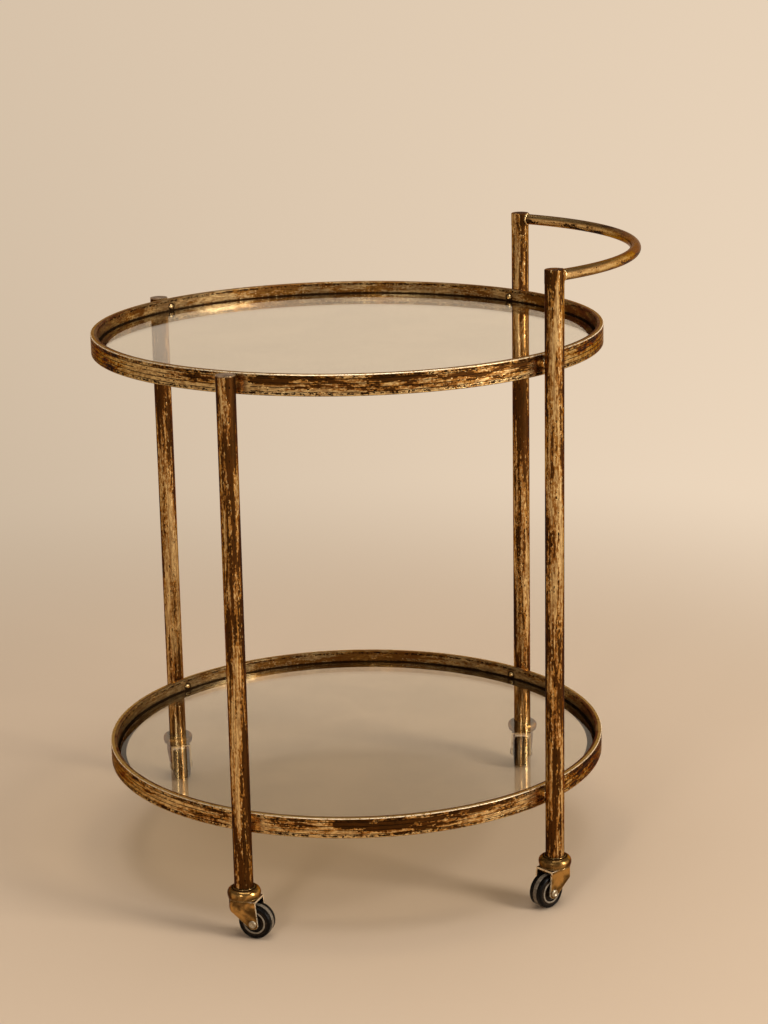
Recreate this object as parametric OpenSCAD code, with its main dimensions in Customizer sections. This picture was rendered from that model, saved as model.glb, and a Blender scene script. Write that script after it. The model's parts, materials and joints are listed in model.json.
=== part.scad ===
// Round two-tier dessert trolley: four tubes stand outside two glazed rings on swivel castors.
// The two tubes at +X are taller and carry a bowed push handle. Millimetres, +Z up.
// The origin is on the floor, under the middle of the whole trolley.

/* [Posts] */
// Outer diameter of the post tubes
post_d = 22; // [18:0.5:26]
// Wall of the post tubes
post_wall = 1.5; // [1:0.1:2]
// Height of the lower ends of the tubes above the floor
post_foot_z = 60; // [59:0.5:64]
// Height of the top of the two handle posts
handle_top_z = 750; // [720:1:800]
// Angle of the two handle posts either side of the handle's middle
handle_post_angle = 45; // [35:1:50]
// Angle of the front left post, anticlockwise from the handle's middle
front_left_angle = 245; // [225:1:250]
// Angle of the back left post, anticlockwise from the handle's middle
back_left_angle = 138; // [120:1:145]

/* [Rings] */
// Outer radius of both rings
ring_r = 305; // [280:1:330]
// Height of the band that each ring is bent from
ring_h = 24; // [22:0.5:30]
// Thickness of the band
ring_t = 7.5; // [6:0.5:9]
// Height of the top edge of the upper ring
upper_ring_z = 654; // [600:1:680]
// Height of the top edge of the lower ring
lower_ring_z = 144; // [120:1:200]
// Chamfer along the edges of the band
ring_chamfer = 0.8; // [0.4:0.1:1.2]
// Number of fine grooves round the outside of the band
groove_count = 4; // [2:1:5]
// Width of one groove
groove_w = 0.9; // [0.5:0.1:1.4]
// Depth of the grooves
groove_deep = 0.5; // [0.3:0.1:0.8]
// Length of the plain patch at each side of a post, where the grooves stop
patch_len = 21; // [14:1:30]
// How far the plain patches lie below the ribs between the grooves
patch_deep = 0.25; // [0.15:0.05:0.25]
// How far the ledge under the glass reaches inwards from the band
ledge_w = 10.5; // [9:0.5:14]
// Thickness of the ledge under the glass
ledge_t = 3; // [2:0.5:4]

/* [Glass] */
// Thickness of the glass shelves
glass_t = 6; // [4:0.5:6]
// Polished bevel round the edge of the glass
glass_bevel = 1; // [0.5:0.1:1.5]
// Room round the glass, past the screw heads, so that it lifts out
glass_clear = 0.5; // [0.3:0.1:1]

/* [Fixings] */
// Length of the spacers between a ring and the posts
spacer_len = 4; // [3:0.5:8]
// Diameter of the spacers
spacer_d = 12.5; // [9:0.5:14]
// Depth of the screws below the top edge of a ring
screw_drop = 10.5; // [10:0.1:11]
// Diameter of the screws
screw_d = 5; // [4:0.5:5]
// Diameter of the round screw heads
screw_head_d = 7.8; // [7:0.1:8]
// Height of the round screw heads
screw_head_h = 2.4; // [1.8:0.1:3]
// Width across the corners of the hexagon socket in a screw head
screw_socket_d = 3.6; // [3:0.1:4]
// Depth of the hexagon socket in a screw head
screw_socket_deep = 1.2; // [0.8:0.1:1.5]
// Outer diameter of the neck of the threaded inserts in the posts
insert_d = 7; // [6.5:0.1:7.5]
// Diameter of the collar that holds an insert inside its post
insert_collar_d = 9.2; // [8.5:0.1:10]
// Length of the insert behind the tube wall
insert_len = 6; // [4:0.5:7]

/* [Handle] */
// Diameter of the rod of the handle
rod_d = 13; // [10:0.5:14]
// How far the rod's outer edge reaches past the outside of the rings
handle_reach = 44; // [25:1:80]
// Height of the cap sleeve at the top of a handle post
sleeve_h = 16; // [15:0.5:25]
// How much the radius of the cap sleeve is more than the tube's
sleeve_lip = 0.25; // [0.1:0.05:0.8]
// How much the radius of the weld collars is more than the rod's
collar_lip = 1; // [0.5:0.1:1.5]
// Length of the weld collars on the rod
collar_len = 3.5; // [2:0.5:6]
// Thickness of the flat caps on the two short posts
cap_t = 1.5; // [1:0.1:3]
// How far the cap sleeves reach into the tubes
plug_len = 12; // [8:1:20]

/* [Castors] */
// Diameter of the wheels
wheel_d = 40; // [36:0.5:41]
// Distance from the swivel axis to the wheel axle
trail = 15; // [12:0.5:17]
// Width of a wheel over its two tyres
wheel_w = 18; // [15:0.5:20]
// Width of the grey band in the middle of the tread
band_w = 5.2; // [4:0.2:7]
// How much the grey band stands proud of the tyres
band_proud = 0.5; // [0.2:0.1:1]
// Thickness of the tyres
tyre_t = 3.6; // [3:0.1:5]
// Rounding of the shoulders of the tyres
tyre_round = 2.2; // [1:0.1:2.5]
// Diameter of the wheel axle
axle_d = 6; // [5:0.5:7]
// Diameter of the domed heads of the axle
axle_head_d = 9.2; // [8.5:0.1:11]
// Height of the domed heads of the axle
axle_head_h = 2; // [1.5:0.1:2.5]
// Diameter of the hub of the wheel
hub_d = 12.4; // [11:0.2:14]
// Outer diameter of the pale rings round the hub
hub_ring_d = 26.8; // [24:0.2:28]
// Width of the pale rings round the hub
hub_ring_w = 2; // [1.5:0.1:3]
// Thickness of the pale rings round the hub
hub_ring_t = 0.8; // [0.5:0.1:1]
// Gap between the side of a tyre and the fork
fork_gap = 2; // [1:0.1:3]
// Thickness of the sheet that the fork is pressed from
fork_t = 2.2; // [1.8:0.1:2.6]
// Height of the top face of the fork plate above the floor
fork_top_z = 46.8; // [46:0.1:47]
// How far the square end of the fork plate reaches behind the swivel axis
fork_tail = 18; // [16:0.5:20]
// Length of the fork's round front skirt below the plate
skirt_drop = 9; // [5:0.5:11]
// Radius of the round front of the fork
fork_front_r = 17.6; // [16:0.1:18]
// Radius of the rounded lower ends of the fork legs
leg_end_r = 6.5; // [6:0.1:8]
// How far a castor socket reaches into its tube
socket_len = 24; // [20:1:32]
// Diameter of the swivel stem
stem_d = 8; // [7:0.5:9]
// How far the swivel stem reaches into its socket
stem_grip = 26; // [18:1:30]
// Largest radius of the domed cup over the swivel
cup_r = 19.3; // [18.5:0.1:20.5]
// Radius of the rounding over the shoulder of the cup
cup_round = 6.1; // [5:0.1:6.5]
// Radius of the recess in the top of the cup
cup_mouth_r = 14.4; // [13.4:0.1:14.8]
// Radius of the circle of bearing balls
ball_circle_r = 12.5; // [11.5:0.1:13]
// Diameter of the bearing balls
ball_d = 4; // [3.6:0.1:4.2]
// Number of bearing balls in one castor
ball_count = 16; // [12:1:16]
// Heading of the front left castor
heading_front_left = -22; // [-180:1:180]
// Heading of the front right castor
heading_front_right = -139; // [-180:1:180]
// Heading of the back left castor
heading_back_left = -75; // [-180:1:180]
// Heading of the back right castor
heading_back_right = -100; // [-180:1:180]

/* [Fits] */
// Radial clearance of the running fits: wheel on axle, fork on stem
running_fit = 0.05; // [0.02:0.01:0.1]
// Radial clearance of plugs in the tubes
plug_fit = 0.1; // [0.02:0.02:0.2]
// Radial clearance of the screws in their holes
screw_fit = 0.1; // [0.05:0.05:0.3]
// Gap between faces that turn past each other
turn_gap = 0.3; // [0.2:0.05:0.5]
// Gap under the domed cup of a castor
cup_gap = 0.6; // [0.4:0.1:1]

/* [Hidden] */

// Segments of large, middling and small circles
LARGE = 360;
MID = 96;
SMALL = 48;
// Overlap of a cutting shape past the face that it opens
past = 1;

// Corners, as indexes into the lists below
FL = 0;
FR = 1;
BL = 2;
BR = 3;
post_angles = [front_left_angle, -handle_post_angle, back_left_angle, handle_post_angle];
headings = [heading_front_left, heading_front_right, heading_back_left, heading_back_right];

post_r = post_d / 2;
post_bore_r = post_r - post_wall;
// Radius of the circle that the post axes stand on
post_circle_r = ring_r + spacer_len + post_r;
short_top_z = upper_ring_z;
ring_in_r = ring_r - ring_t;
// The spacers sit on the plain patches, each of which takes up twice this angle
patch_r = ring_r - patch_deep;
patch_half = patch_len / ring_r * 180 / PI;
// The grooves run out within the ends of the patches, at this angle from a post
groove_over = 1;
groove_stop = (patch_len - groove_over) / ring_r * 180 / PI;
plug_r = post_bore_r - plug_fit;

// Fixings: the screw heads lie on the inner face of the band
screw_r = screw_d / 2;
screw_hole_r = screw_r + screw_fit;
head_seat_x = sqrt(ring_in_r * ring_in_r - screw_head_d * screw_head_d / 4);
insert_r = insert_d / 2;
insert_collar_r = insert_collar_d / 2;
collar_seat_x = post_circle_r - sqrt(post_bore_r * post_bore_r - insert_collar_r * insert_collar_r);
insert_end_x = collar_seat_x + insert_len;
screw_end_gap = 1;
ring_tops = [upper_ring_z, lower_ring_z];
// The plug of a flat cap stops above the collar of the upper insert
cap_plug_gap = 0.4;
cap_plug_len = screw_drop - cap_t - insert_collar_r - cap_plug_gap;

// The glass passes inside the screw heads when it is lifted out
glass_r = ring_in_r - screw_head_h - glass_clear - (ring_in_r - head_seat_x);
ledge_r = ring_in_r - ledge_w;

// Handle: one arc through the axes of the two handle posts
rod_r = rod_d / 2;
rod_drop = 0.2;
rod_z = handle_top_z - rod_drop - collar_lip - rod_r;
handle_post_x = post_circle_r * cos(handle_post_angle);
handle_post_y = post_circle_r * sin(handle_post_angle);
bow_tip_x = ring_r + handle_reach - rod_r;
bow_sagitta = bow_tip_x - handle_post_x;
bow_r = (handle_post_y * handle_post_y + bow_sagitta * bow_sagitta) / (2 * bow_sagitta);
bow_centre_x = bow_tip_x - bow_r;
bow_half_angle = atan2(handle_post_y, handle_post_x - bow_centre_x);
sleeve_r = post_r + sleeve_lip;
collar_sweep = (sleeve_r + collar_len) / bow_r * 180 / PI;

// Castor heights and widths
wheel_r = wheel_d / 2;
tyre_r = wheel_r - band_proud;
rim_r = tyre_r - tyre_t;
side_y = wheel_w / 2;
leg_in_y = side_y + fork_gap;
leg_out_y = leg_in_y + fork_t;
axle_r = axle_d / 2;
press_gap = 0.02;
axle_hole_r = axle_r + press_gap;
stem_r = stem_d / 2;
stem_hole_r = stem_r + running_fit;
fork_low_z = fork_top_z - fork_t;
rivet_h = 2.2;
rivet_lip = 2.5;
rivet_z = fork_low_z - turn_gap;
ball_r = ball_d / 2;
// The balls run in a shallow groove of the fork plate
ball_sink = 0.5;
ball_z = fork_top_z + ball_r - ball_sink;
race_z = ball_z + ball_r + turn_gap;
race_lip = 1;
race_in_r = ball_circle_r - ball_r - race_lip;

// Castor cup and socket: the tube's foot stands on a flange in the mouth of the cup
flange_t = 1.2;
flange_r = post_r + 1.5;
neck_len = 2;
neck_r = stem_r + 4;
cup_floor_z = post_foot_z - flange_t - neck_len;
cup_sheet = 1.6;
cup_drop = 0.8;
cup_round_x = cup_r - cup_round;
cup_round_z = post_foot_z - cup_drop - cup_round;
cup_mouth_angle = 78;
cup_foot_z = fork_top_z + cup_gap;
cup_skirt_t = 1.9;
cup_skirt_r = cup_r - cup_skirt_t;
cup_hem_h = 2.2;
cup_hem_in = 0.4;

// Wheel: hub, web and rim
hub_r = hub_d / 2;
hub_y = leg_in_y - turn_gap;
rim_inset = 0.4;
rim_y = side_y - rim_inset;
web_inset = 3;
web_y = side_y - web_inset;
hub_ring_r = hub_ring_d / 2;

// Middle of the whole trolley, as seen from above, from the middle of the rings.
// The front reach is the front left tyre, where its shoulder passes the rings.
front_left_y = post_circle_r * sin(front_left_angle);
swing_y = (trail + tyre_r - tyre_round) * abs(sin(heading_front_left));
shoulder_y = (side_y - tyre_round) * cos(heading_front_left) + tyre_round;
front_reach = max(ring_r, swing_y + shoulder_y - front_left_y);
mid_x = handle_reach / 2;
mid_y = (ring_r - front_reach) / 2;

// Moves a piece from the middle of the rings to the trolley's origin
module in_place() {
    translate([-mid_x, -mid_y, 0])
        children();
}

// Puts a piece at a post: local +X points away from the middle of the rings
module at_post(corner) {
    rotate([0, 0, post_angles[corner]])
        translate([post_circle_r, 0, 0])
            children();
}

// Turns a fixing from +Z to +X, at a post and at the height of a ring's screws
module at_fixing(corner, ring_top) {
    rotate([0, 0, post_angles[corner]])
        translate([0, 0, ring_top - screw_drop])
            rotate([0, 90, 0])
                children();
}

// Puts a castor piece under its post: local +X points to the trailing wheel
module at_castor(corner) {
    rotate([0, 0, post_angles[corner]])
        translate([post_circle_r, 0, 0])
            rotate([0, 0, headings[corner] - post_angles[corner]])
                children();
}

// Puts a piece on the wheel axle, with its local Z along the axle
module on_axle(corner) {
    at_castor(corner)
        translate([trail, 0, wheel_r])
            rotate([90, 0, 0])
                children();
}

// Low dome with a flat underside at z = 0
module dome(r, h) {
    ball = (r * r + h * h) / (2 * h);
    intersection() {
        cylinder(r = r, h = h, $fn = SMALL);
        translate([0, 0, h - ball])
            sphere(r = ball, $fn = MID);
    }
}

// Tube between two heights
module tube(outer, inner, low, high) {
    translate([0, 0, low])
        difference() {
            cylinder(r = outer, h = high - low, $fn = MID);
            translate([0, 0, -past])
                cylinder(r = inner, h = high - low + 2 * past, $fn = MID);
        }
}

// Post with the holes for its two threaded inserts
module post(corner, top) {
    color("#8a6428")
        difference() {
            at_post(corner)
                tube(post_r, post_bore_r, post_foot_z, top);
            for (ring_top = ring_tops)
                at_fixing(corner, ring_top)
                    translate([0, 0, ring_r])
                        cylinder(r = insert_r, h = post_circle_r - ring_r, $fn = SMALL);
        }
}

// Flat cap on a short post
module flat_cap(corner) {
    color("#7d5f3a")
        at_post(corner)
            union() {
                translate([0, 0, short_top_z - cap_t])
                    cylinder(r = post_r, h = cap_t, $fn = MID);
                translate([0, 0, short_top_z - cap_t - cap_plug_len])
                    cylinder(r = plug_r, h = cap_plug_len, $fn = MID);
            }
}

// Cap sleeve on a handle post, which the rod is welded to
module handle_cap(corner) {
    edge = 0.8;
    color("#8a6428")
        at_post(corner)
            union() {
                translate([0, 0, handle_top_z - sleeve_h])
                    cylinder(r = sleeve_r, h = sleeve_h - edge, $fn = MID);
                translate([0, 0, handle_top_z - edge])
                    cylinder(r1 = sleeve_r, r2 = sleeve_r - edge, h = edge, $fn = MID);
                translate([0, 0, handle_top_z - sleeve_h - plug_len])
                    cylinder(r = plug_r, h = plug_len, $fn = MID);
            }
}

// Round bar swept along part of the handle's arc
module bow_arc(r, from, sweep) {
    translate([bow_centre_x, 0, rod_z])
        rotate([0, 0, from])
            rotate_extrude(angle = sweep, $fn = LARGE)
                translate([bow_r, 0])
                    circle(r = r, $fn = SMALL);
}

module handle_bow() {
    color("#94702f")
        difference() {
            union() {
                bow_arc(rod_r, -bow_half_angle, 2 * bow_half_angle);
                bow_arc(rod_r + collar_lip, -bow_half_angle, collar_sweep);
                bow_arc(rod_r + collar_lip, bow_half_angle - collar_sweep, collar_sweep);
            }
            for (corner = [FR, BR])
                at_post(corner)
                    translate([0, 0, rod_z - post_d])
                        cylinder(r = sleeve_r, h = 2 * post_d, $fn = MID);
        }
}

// Section of a ring: the band and the ledge under the glass
module ring_section() {
    c = ring_chamfer;
    polygon([
        [ledge_r, 0],
        [ring_r - c, 0],
        [ring_r, c],
        [ring_r, ring_h - c],
        [ring_r - c, ring_h],
        [ring_in_r + c, ring_h],
        [ring_in_r, ring_h - c],
        [ring_in_r, ledge_t],
        [ledge_r, ledge_t]
    ]);
}

// Grooves between two neighbouring posts, which run out in the plain patches
module groove_run(from, to) {
    pitch = ring_h / (groove_count + 1);
    rotate([0, 0, from + groove_stop])
        rotate_extrude(angle = to - from - 2 * groove_stop, $fn = LARGE)
            for (i = [1:groove_count])
                translate([ring_r - groove_deep, i * pitch - groove_w / 2])
                    square([groove_deep + past, groove_w]);
}

// Cut that dresses the ribs of the band flat where a post is fixed
module patch_cut(at) {
    rotate([0, 0, at - patch_half])
        rotate_extrude(angle = 2 * patch_half, $fn = LARGE)
            translate([patch_r, -past])
                square([patch_deep + past, ring_h + 2 * past]);
}

// Ring, whose band is joined end to end behind the back handle post
module ring(top) {
    stops = [-handle_post_angle, handle_post_angle, back_left_angle, front_left_angle,
        360 - handle_post_angle];
    color("#8f6c33")
        difference() {
            translate([0, 0, top - ring_h])
                difference() {
                    rotate([0, 0, handle_post_angle])
                        rotate_extrude($fn = LARGE)
                            ring_section();
                    for (i = [0:3]) {
                        groove_run(stops[i], stops[i + 1]);
                        patch_cut(stops[i]);
                    }
                }
            for (corner = [FL, FR, BL, BR])
                at_fixing(corner, top)
                    translate([0, 0, ring_in_r - past])
                        cylinder(r = screw_hole_r, h = ring_t + 2 * past, $fn = SMALL);
        }
}

// Loose round shelf of clear glass, which lies on the ledge of its ring
module glass(top) {
    b = glass_bevel;
    color("#c9c4b4", 0.4)
        translate([0, 0, top - ring_h + ledge_t])
            rotate_extrude($fn = LARGE)
                polygon([[0, 0], [glass_r - b, 0], [glass_r, b], [glass_r, glass_t - b],
                    [glass_r - b, glass_t], [0, glass_t]]);
}

// Four spacers, each hollowed at one end to sit against the round tube
module spacers(top) {
    reach = post_circle_r - patch_r;
    color("#c8b48a")
        for (corner = [FL, FR, BL, BR])
            difference() {
                at_fixing(corner, top)
                    translate([0, 0, patch_r])
                        difference() {
                            cylinder(d = spacer_d, h = reach, $fn = SMALL);
                            translate([0, 0, -past])
                                cylinder(r = screw_hole_r, h = reach + 2 * past, $fn = SMALL);
                        }
                at_post(corner)
                    translate([0, 0, top - screw_drop - spacer_d])
                        cylinder(r = post_r, h = 2 * spacer_d, $fn = MID);
            }
}

// Four round-head screws with hexagon sockets
module screws(top) {
    shank = insert_end_x - head_seat_x - screw_end_gap;
    color("#4a3820")
        for (corner = [FL, FR, BL, BR])
            at_fixing(corner, top)
                translate([0, 0, head_seat_x])
                    difference() {
                        union() {
                            mirror([0, 0, 1])
                                dome(screw_head_d / 2, screw_head_h);
                            cylinder(r = screw_r, h = shank, $fn = SMALL);
                        }
                        translate([0, 0, -screw_head_h - past])
                            cylinder(d = screw_socket_d, h = screw_socket_deep + past, $fn = 6);
                    }
}

// Four threaded inserts, each with its neck in the tube wall and its collar behind it
module inserts(top) {
    start = ring_r + spacer_len;
    color("#9a9a90")
        for (corner = [FL, FR, BL, BR])
            difference() {
                at_fixing(corner, top)
                    difference() {
                        union() {
                            translate([0, 0, start])
                                cylinder(r = insert_r, h = insert_end_x - start, $fn = SMALL);
                            translate([0, 0, collar_seat_x])
                                cylinder(r = insert_collar_r, h = insert_len, $fn = SMALL);
                        }
                        translate([0, 0, start - past])
                            cylinder(r = screw_r, h = insert_end_x - start + 2 * past, $fn = SMALL);
                    }
                // The neck ends flush with the outside of the round tube
                at_post(corner)
                    translate([0, 0, top - screw_drop])
                        tube(post_r + spacer_len, post_r, -insert_d, insert_d);
            }
}

// Plug in the foot of a tube, with a flange under the tube and a bore for the stem
module socket(corner) {
    color("#6d4c1c")
        at_post(corner)
            difference() {
                union() {
                    translate([0, 0, post_foot_z])
                        cylinder(r = plug_r, h = socket_len, $fn = MID);
                    translate([0, 0, post_foot_z - flange_t])
                        cylinder(r = flange_r, h = flange_t, $fn = MID);
                    translate([0, 0, cup_floor_z])
                        cylinder(r = neck_r, h = post_foot_z - cup_floor_z, $fn = MID);
                }
                translate([0, 0, cup_floor_z - past])
                    cylinder(r = stem_hole_r, h = neck_len + flange_t + socket_len + 2 * past, $fn = SMALL);
            }
}

// Domed cup over the swivel bearing
module castor_cup(corner) {
    steps = 10;
    shoulder = [for (i = [0:steps])
        let (a = cup_mouth_angle * (1 - i / steps))
        [cup_round_x + cup_round * cos(a), cup_round_z + cup_round * sin(a)]];
    color("#a5803c")
        at_castor(corner)
            rotate_extrude($fn = MID)
                polygon(concat(
                    [[stem_hole_r, cup_floor_z - cup_sheet],
                        [stem_hole_r, cup_floor_z],
                        [cup_mouth_r, cup_floor_z],
                        [cup_mouth_r, cup_round_z + cup_round * sin(cup_mouth_angle)]],
                    shoulder,
                    [[cup_r, cup_foot_z + cup_hem_h],
                        [cup_r - cup_hem_in, cup_foot_z],
                        [cup_skirt_r, cup_foot_z],
                        [cup_skirt_r, race_z],
                        [race_in_r, race_z],
                        [race_in_r, cup_floor_z - cup_sheet]]
                ));
}

// Swivel stem, riveted over below the fork plate
module castor_stem(corner) {
    color("#b0aba0")
        at_castor(corner)
            union() {
                translate([0, 0, rivet_z - rivet_h])
                    cylinder(r = stem_r + rivet_lip, h = rivet_h, $fn = SMALL);
                translate([0, 0, rivet_z])
                    cylinder(r = stem_r, h = cup_floor_z + stem_grip - rivet_z, $fn = SMALL);
            }
}

// Ring of balls between the cup and the fork plate
module castor_balls(corner) {
    color("#c0c0c0")
        at_castor(corner)
            for (i = [0:ball_count - 1])
                rotate([0, 0, i * 360 / ball_count])
                    translate([ball_circle_r, 0, ball_z])
                        sphere(r = ball_r, $fn = SMALL);
}

// Outline of one fork leg, seen along the axle: square tail, slanting front, round end
module leg_outline() {
    front_x = -sqrt(fork_front_r * fork_front_r - leg_out_y * leg_out_y);
    knee_z = fork_low_z - skirt_drop;
    // Slanting front edge, tangent to the round end
    dx = trail - front_x;
    dz = wheel_r - knee_z;
    slant = atan2(dz, dx) - asin(leg_end_r / norm([dx, dz]));
    polygon([
        [front_x, fork_top_z],
        [front_x, knee_z],
        [trail + leg_end_r * cos(slant - 90), wheel_r + leg_end_r * sin(slant - 90)],
        [trail, wheel_r],
        [trail + leg_end_r, wheel_r],
        [fork_tail, fork_top_z - fork_t],
        [fork_tail, fork_top_z]
    ]);
    translate([trail, wheel_r])
        circle(r = leg_end_r, $fn = SMALL);
}

module castor_fork(corner) {
    color("#94702f")
        at_castor(corner)
            difference() {
                union() {
                    // Plate: round under the cup, square at the tail
                    translate([0, 0, fork_low_z])
                        cylinder(r = fork_front_r, h = fork_t, $fn = MID);
                    translate([0, -leg_out_y, fork_low_z])
                        cube([fork_tail, 2 * leg_out_y, fork_t]);
                    // Two legs
                    for (side = [-1, 1])
                        translate([0, side * (leg_in_y + fork_t / 2) + fork_t / 2, 0])
                            rotate([90, 0, 0])
                                linear_extrude(height = fork_t)
                                    leg_outline();
                    // Round skirt that joins the fronts of the legs
                    intersection() {
                        tube(fork_front_r, fork_front_r - fork_t, fork_low_z - skirt_drop, fork_top_z);
                        translate([-fork_front_r, -leg_out_y, 0])
                            cube([fork_front_r, 2 * leg_out_y, fork_top_z]);
                    }
                }
                translate([0, 0, fork_low_z - past])
                    cylinder(r = stem_hole_r, h = fork_t + 2 * past, $fn = SMALL);
                rotate_extrude($fn = MID)
                    translate([ball_circle_r, ball_z])
                        circle(r = ball_r + press_gap, $fn = SMALL);
                translate([trail, leg_out_y + past, wheel_r])
                    rotate([90, 0, 0])
                        cylinder(r = axle_hole_r, h = 2 * (leg_out_y + past), $fn = SMALL);
            }
}

// Riveted axle with a domed head at each end
module axle(corner) {
    color("#d8d4cc")
        on_axle(corner)
            union() {
                cylinder(r = axle_r, h = 2 * leg_out_y, center = true, $fn = SMALL);
                for (side = [0, 1])
                    mirror([0, 0, side])
                        translate([0, 0, leg_out_y])
                            dome(axle_head_d / 2, axle_head_h);
            }
}

// Hub, web and rim of a wheel
module wheel_core(corner) {
    color("#2b2a28")
        on_axle(corner)
            rotate_extrude($fn = MID)
                union() {
                    translate([axle_r + running_fit, -hub_y])
                        square([hub_r - axle_r - running_fit, 2 * hub_y]);
                    translate([hub_r - past, -web_y])
                        square([rim_r - hub_r + past, 2 * web_y]);
                    translate([hub_ring_r - hub_ring_w, -rim_y])
                        square([rim_r - hub_ring_r + hub_ring_w, 2 * rim_y]);
                }
}

// Grey band between the tyres, which the wheel rolls on
module tread_band(corner) {
    edge = 0.4;
    half = band_w / 2;
    color("#8c8880")
        on_axle(corner)
            rotate_extrude($fn = MID)
                polygon([[rim_r, -half], [wheel_r - edge, -half], [wheel_r, -half + edge],
                    [wheel_r, half - edge], [wheel_r - edge, half], [rim_r, half]]);
}

// Section of one tyre, with a rounded shoulder
module tyre_section() {
    tall = side_y - band_w / 2;
    intersection() {
        translate([rim_r, band_w / 2])
            square([tyre_t, tall]);
        union() {
            translate([rim_r, band_w / 2])
                square([tyre_t - tyre_round, tall]);
            translate([rim_r, band_w / 2])
                square([tyre_t, tall - tyre_round]);
            translate([tyre_r - tyre_round, side_y - tyre_round])
                circle(r = tyre_round, $fn = SMALL);
        }
    }
}

// Two black tyres
module tyres(corner) {
    color("#1b1a19")
        on_axle(corner)
            for (side = [0, 1])
                mirror([0, 0, side])
                    rotate_extrude($fn = MID)
                        tyre_section();
}

// Pale ring on each side of a wheel
module hub_rings(corner) {
    color("#b9b4ab")
        on_axle(corner)
            for (side = [0, 1])
                mirror([0, 0, side])
                    rotate_extrude($fn = MID)
                        translate([hub_ring_r - hub_ring_w, rim_y])
                            square([hub_ring_w, hub_ring_t]);
}

in_place() post(FL, short_top_z - cap_t);  // post_front_left
in_place() post(FR, handle_top_z - sleeve_h);  // post_front_right
in_place() post(BL, short_top_z - cap_t);  // post_back_left
in_place() post(BR, handle_top_z - sleeve_h);  // post_back_right
in_place() flat_cap(FL);  // cap_front_left
in_place() flat_cap(BL);  // cap_back_left
in_place() handle_cap(FR);  // handle_cap_front
in_place() handle_cap(BR);  // handle_cap_back
in_place() handle_bow();
in_place() ring(upper_ring_z);  // upper_ring
in_place() ring(lower_ring_z);  // lower_ring
in_place() glass(upper_ring_z);  // upper_glass
in_place() glass(lower_ring_z);  // lower_glass
in_place() spacers(upper_ring_z);  // upper_spacers
in_place() spacers(lower_ring_z);  // lower_spacers
in_place() screws(upper_ring_z);  // upper_screws
in_place() screws(lower_ring_z);  // lower_screws
in_place() inserts(upper_ring_z);  // upper_inserts
in_place() inserts(lower_ring_z);  // lower_inserts
in_place() socket(FL);  // socket_front_left
in_place() socket(FR);  // socket_front_right
in_place() socket(BL);  // socket_back_left
in_place() socket(BR);  // socket_back_right
in_place() castor_cup(FL);  // castor_cup_front_left
in_place() castor_cup(FR);  // castor_cup_front_right
in_place() castor_cup(BL);  // castor_cup_back_left
in_place() castor_cup(BR);  // castor_cup_back_right
in_place() castor_stem(FL);  // castor_stem_front_left
in_place() castor_stem(FR);  // castor_stem_front_right
in_place() castor_stem(BL);  // castor_stem_back_left
in_place() castor_stem(BR);  // castor_stem_back_right
in_place() castor_balls(FL);  // castor_balls_front_left
in_place() castor_balls(FR);  // castor_balls_front_right
in_place() castor_balls(BL);  // castor_balls_back_left
in_place() castor_balls(BR);  // castor_balls_back_right
in_place() castor_fork(FL);  // castor_fork_front_left
in_place() castor_fork(FR);  // castor_fork_front_right
in_place() castor_fork(BL);  // castor_fork_back_left
in_place() castor_fork(BR);  // castor_fork_back_right
in_place() axle(FL);  // axle_front_left
in_place() axle(FR);  // axle_front_right
in_place() axle(BL);  // axle_back_left
in_place() axle(BR);  // axle_back_right
in_place() wheel_core(FL);  // wheel_core_front_left
in_place() wheel_core(FR);  // wheel_core_front_right
in_place() wheel_core(BL);  // wheel_core_back_left
in_place() wheel_core(BR);  // wheel_core_back_right
in_place() tread_band(FL);  // tread_band_front_left
in_place() tread_band(FR);  // tread_band_front_right
in_place() tread_band(BL);  // tread_band_back_left
in_place() tread_band(BR);  // tread_band_back_right
in_place() tyres(FL);  // tyres_front_left
in_place() tyres(FR);  // tyres_front_right
in_place() tyres(BL);  // tyres_back_left
in_place() tyres(BR);  // tyres_back_right
in_place() hub_rings(FL);  // hub_rings_front_left
in_place() hub_rings(FR);  // hub_rings_front_right
in_place() hub_rings(BL);  // hub_rings_back_left
in_place() hub_rings(BR);  // hub_rings_back_right
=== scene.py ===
import json
import math
import bmesh
import bpy
from mathutils import Matrix, Vector


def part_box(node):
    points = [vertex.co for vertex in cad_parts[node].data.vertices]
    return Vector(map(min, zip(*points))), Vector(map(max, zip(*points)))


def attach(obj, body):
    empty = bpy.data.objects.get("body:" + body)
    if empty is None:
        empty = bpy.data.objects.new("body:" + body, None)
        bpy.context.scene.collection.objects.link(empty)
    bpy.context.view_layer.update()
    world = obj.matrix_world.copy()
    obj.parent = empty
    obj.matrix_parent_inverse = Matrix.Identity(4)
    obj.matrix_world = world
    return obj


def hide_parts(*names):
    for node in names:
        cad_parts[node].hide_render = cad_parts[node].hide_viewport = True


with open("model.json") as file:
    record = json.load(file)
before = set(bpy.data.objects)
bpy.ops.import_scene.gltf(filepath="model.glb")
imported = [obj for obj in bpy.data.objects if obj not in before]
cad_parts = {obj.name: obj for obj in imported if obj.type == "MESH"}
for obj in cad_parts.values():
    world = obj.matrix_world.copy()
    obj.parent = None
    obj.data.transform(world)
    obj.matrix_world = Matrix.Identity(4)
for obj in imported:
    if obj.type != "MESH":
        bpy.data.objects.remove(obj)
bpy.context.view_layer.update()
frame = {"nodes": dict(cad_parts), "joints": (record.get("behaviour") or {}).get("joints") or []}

# Dessert trolley: aged brass tubes and rings, clear glass shelves, brass castors.
# Metres, +Z up, origin on the floor under the middle of the trolley.

MM = 0.001
TURN = 2 * math.pi
CORNERS = ("front_left", "front_right", "back_left", "back_right")
SHORT = ("front_left", "back_left")
TALL = ("front_right", "back_right")
TIERS = ("upper", "lower")

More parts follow.
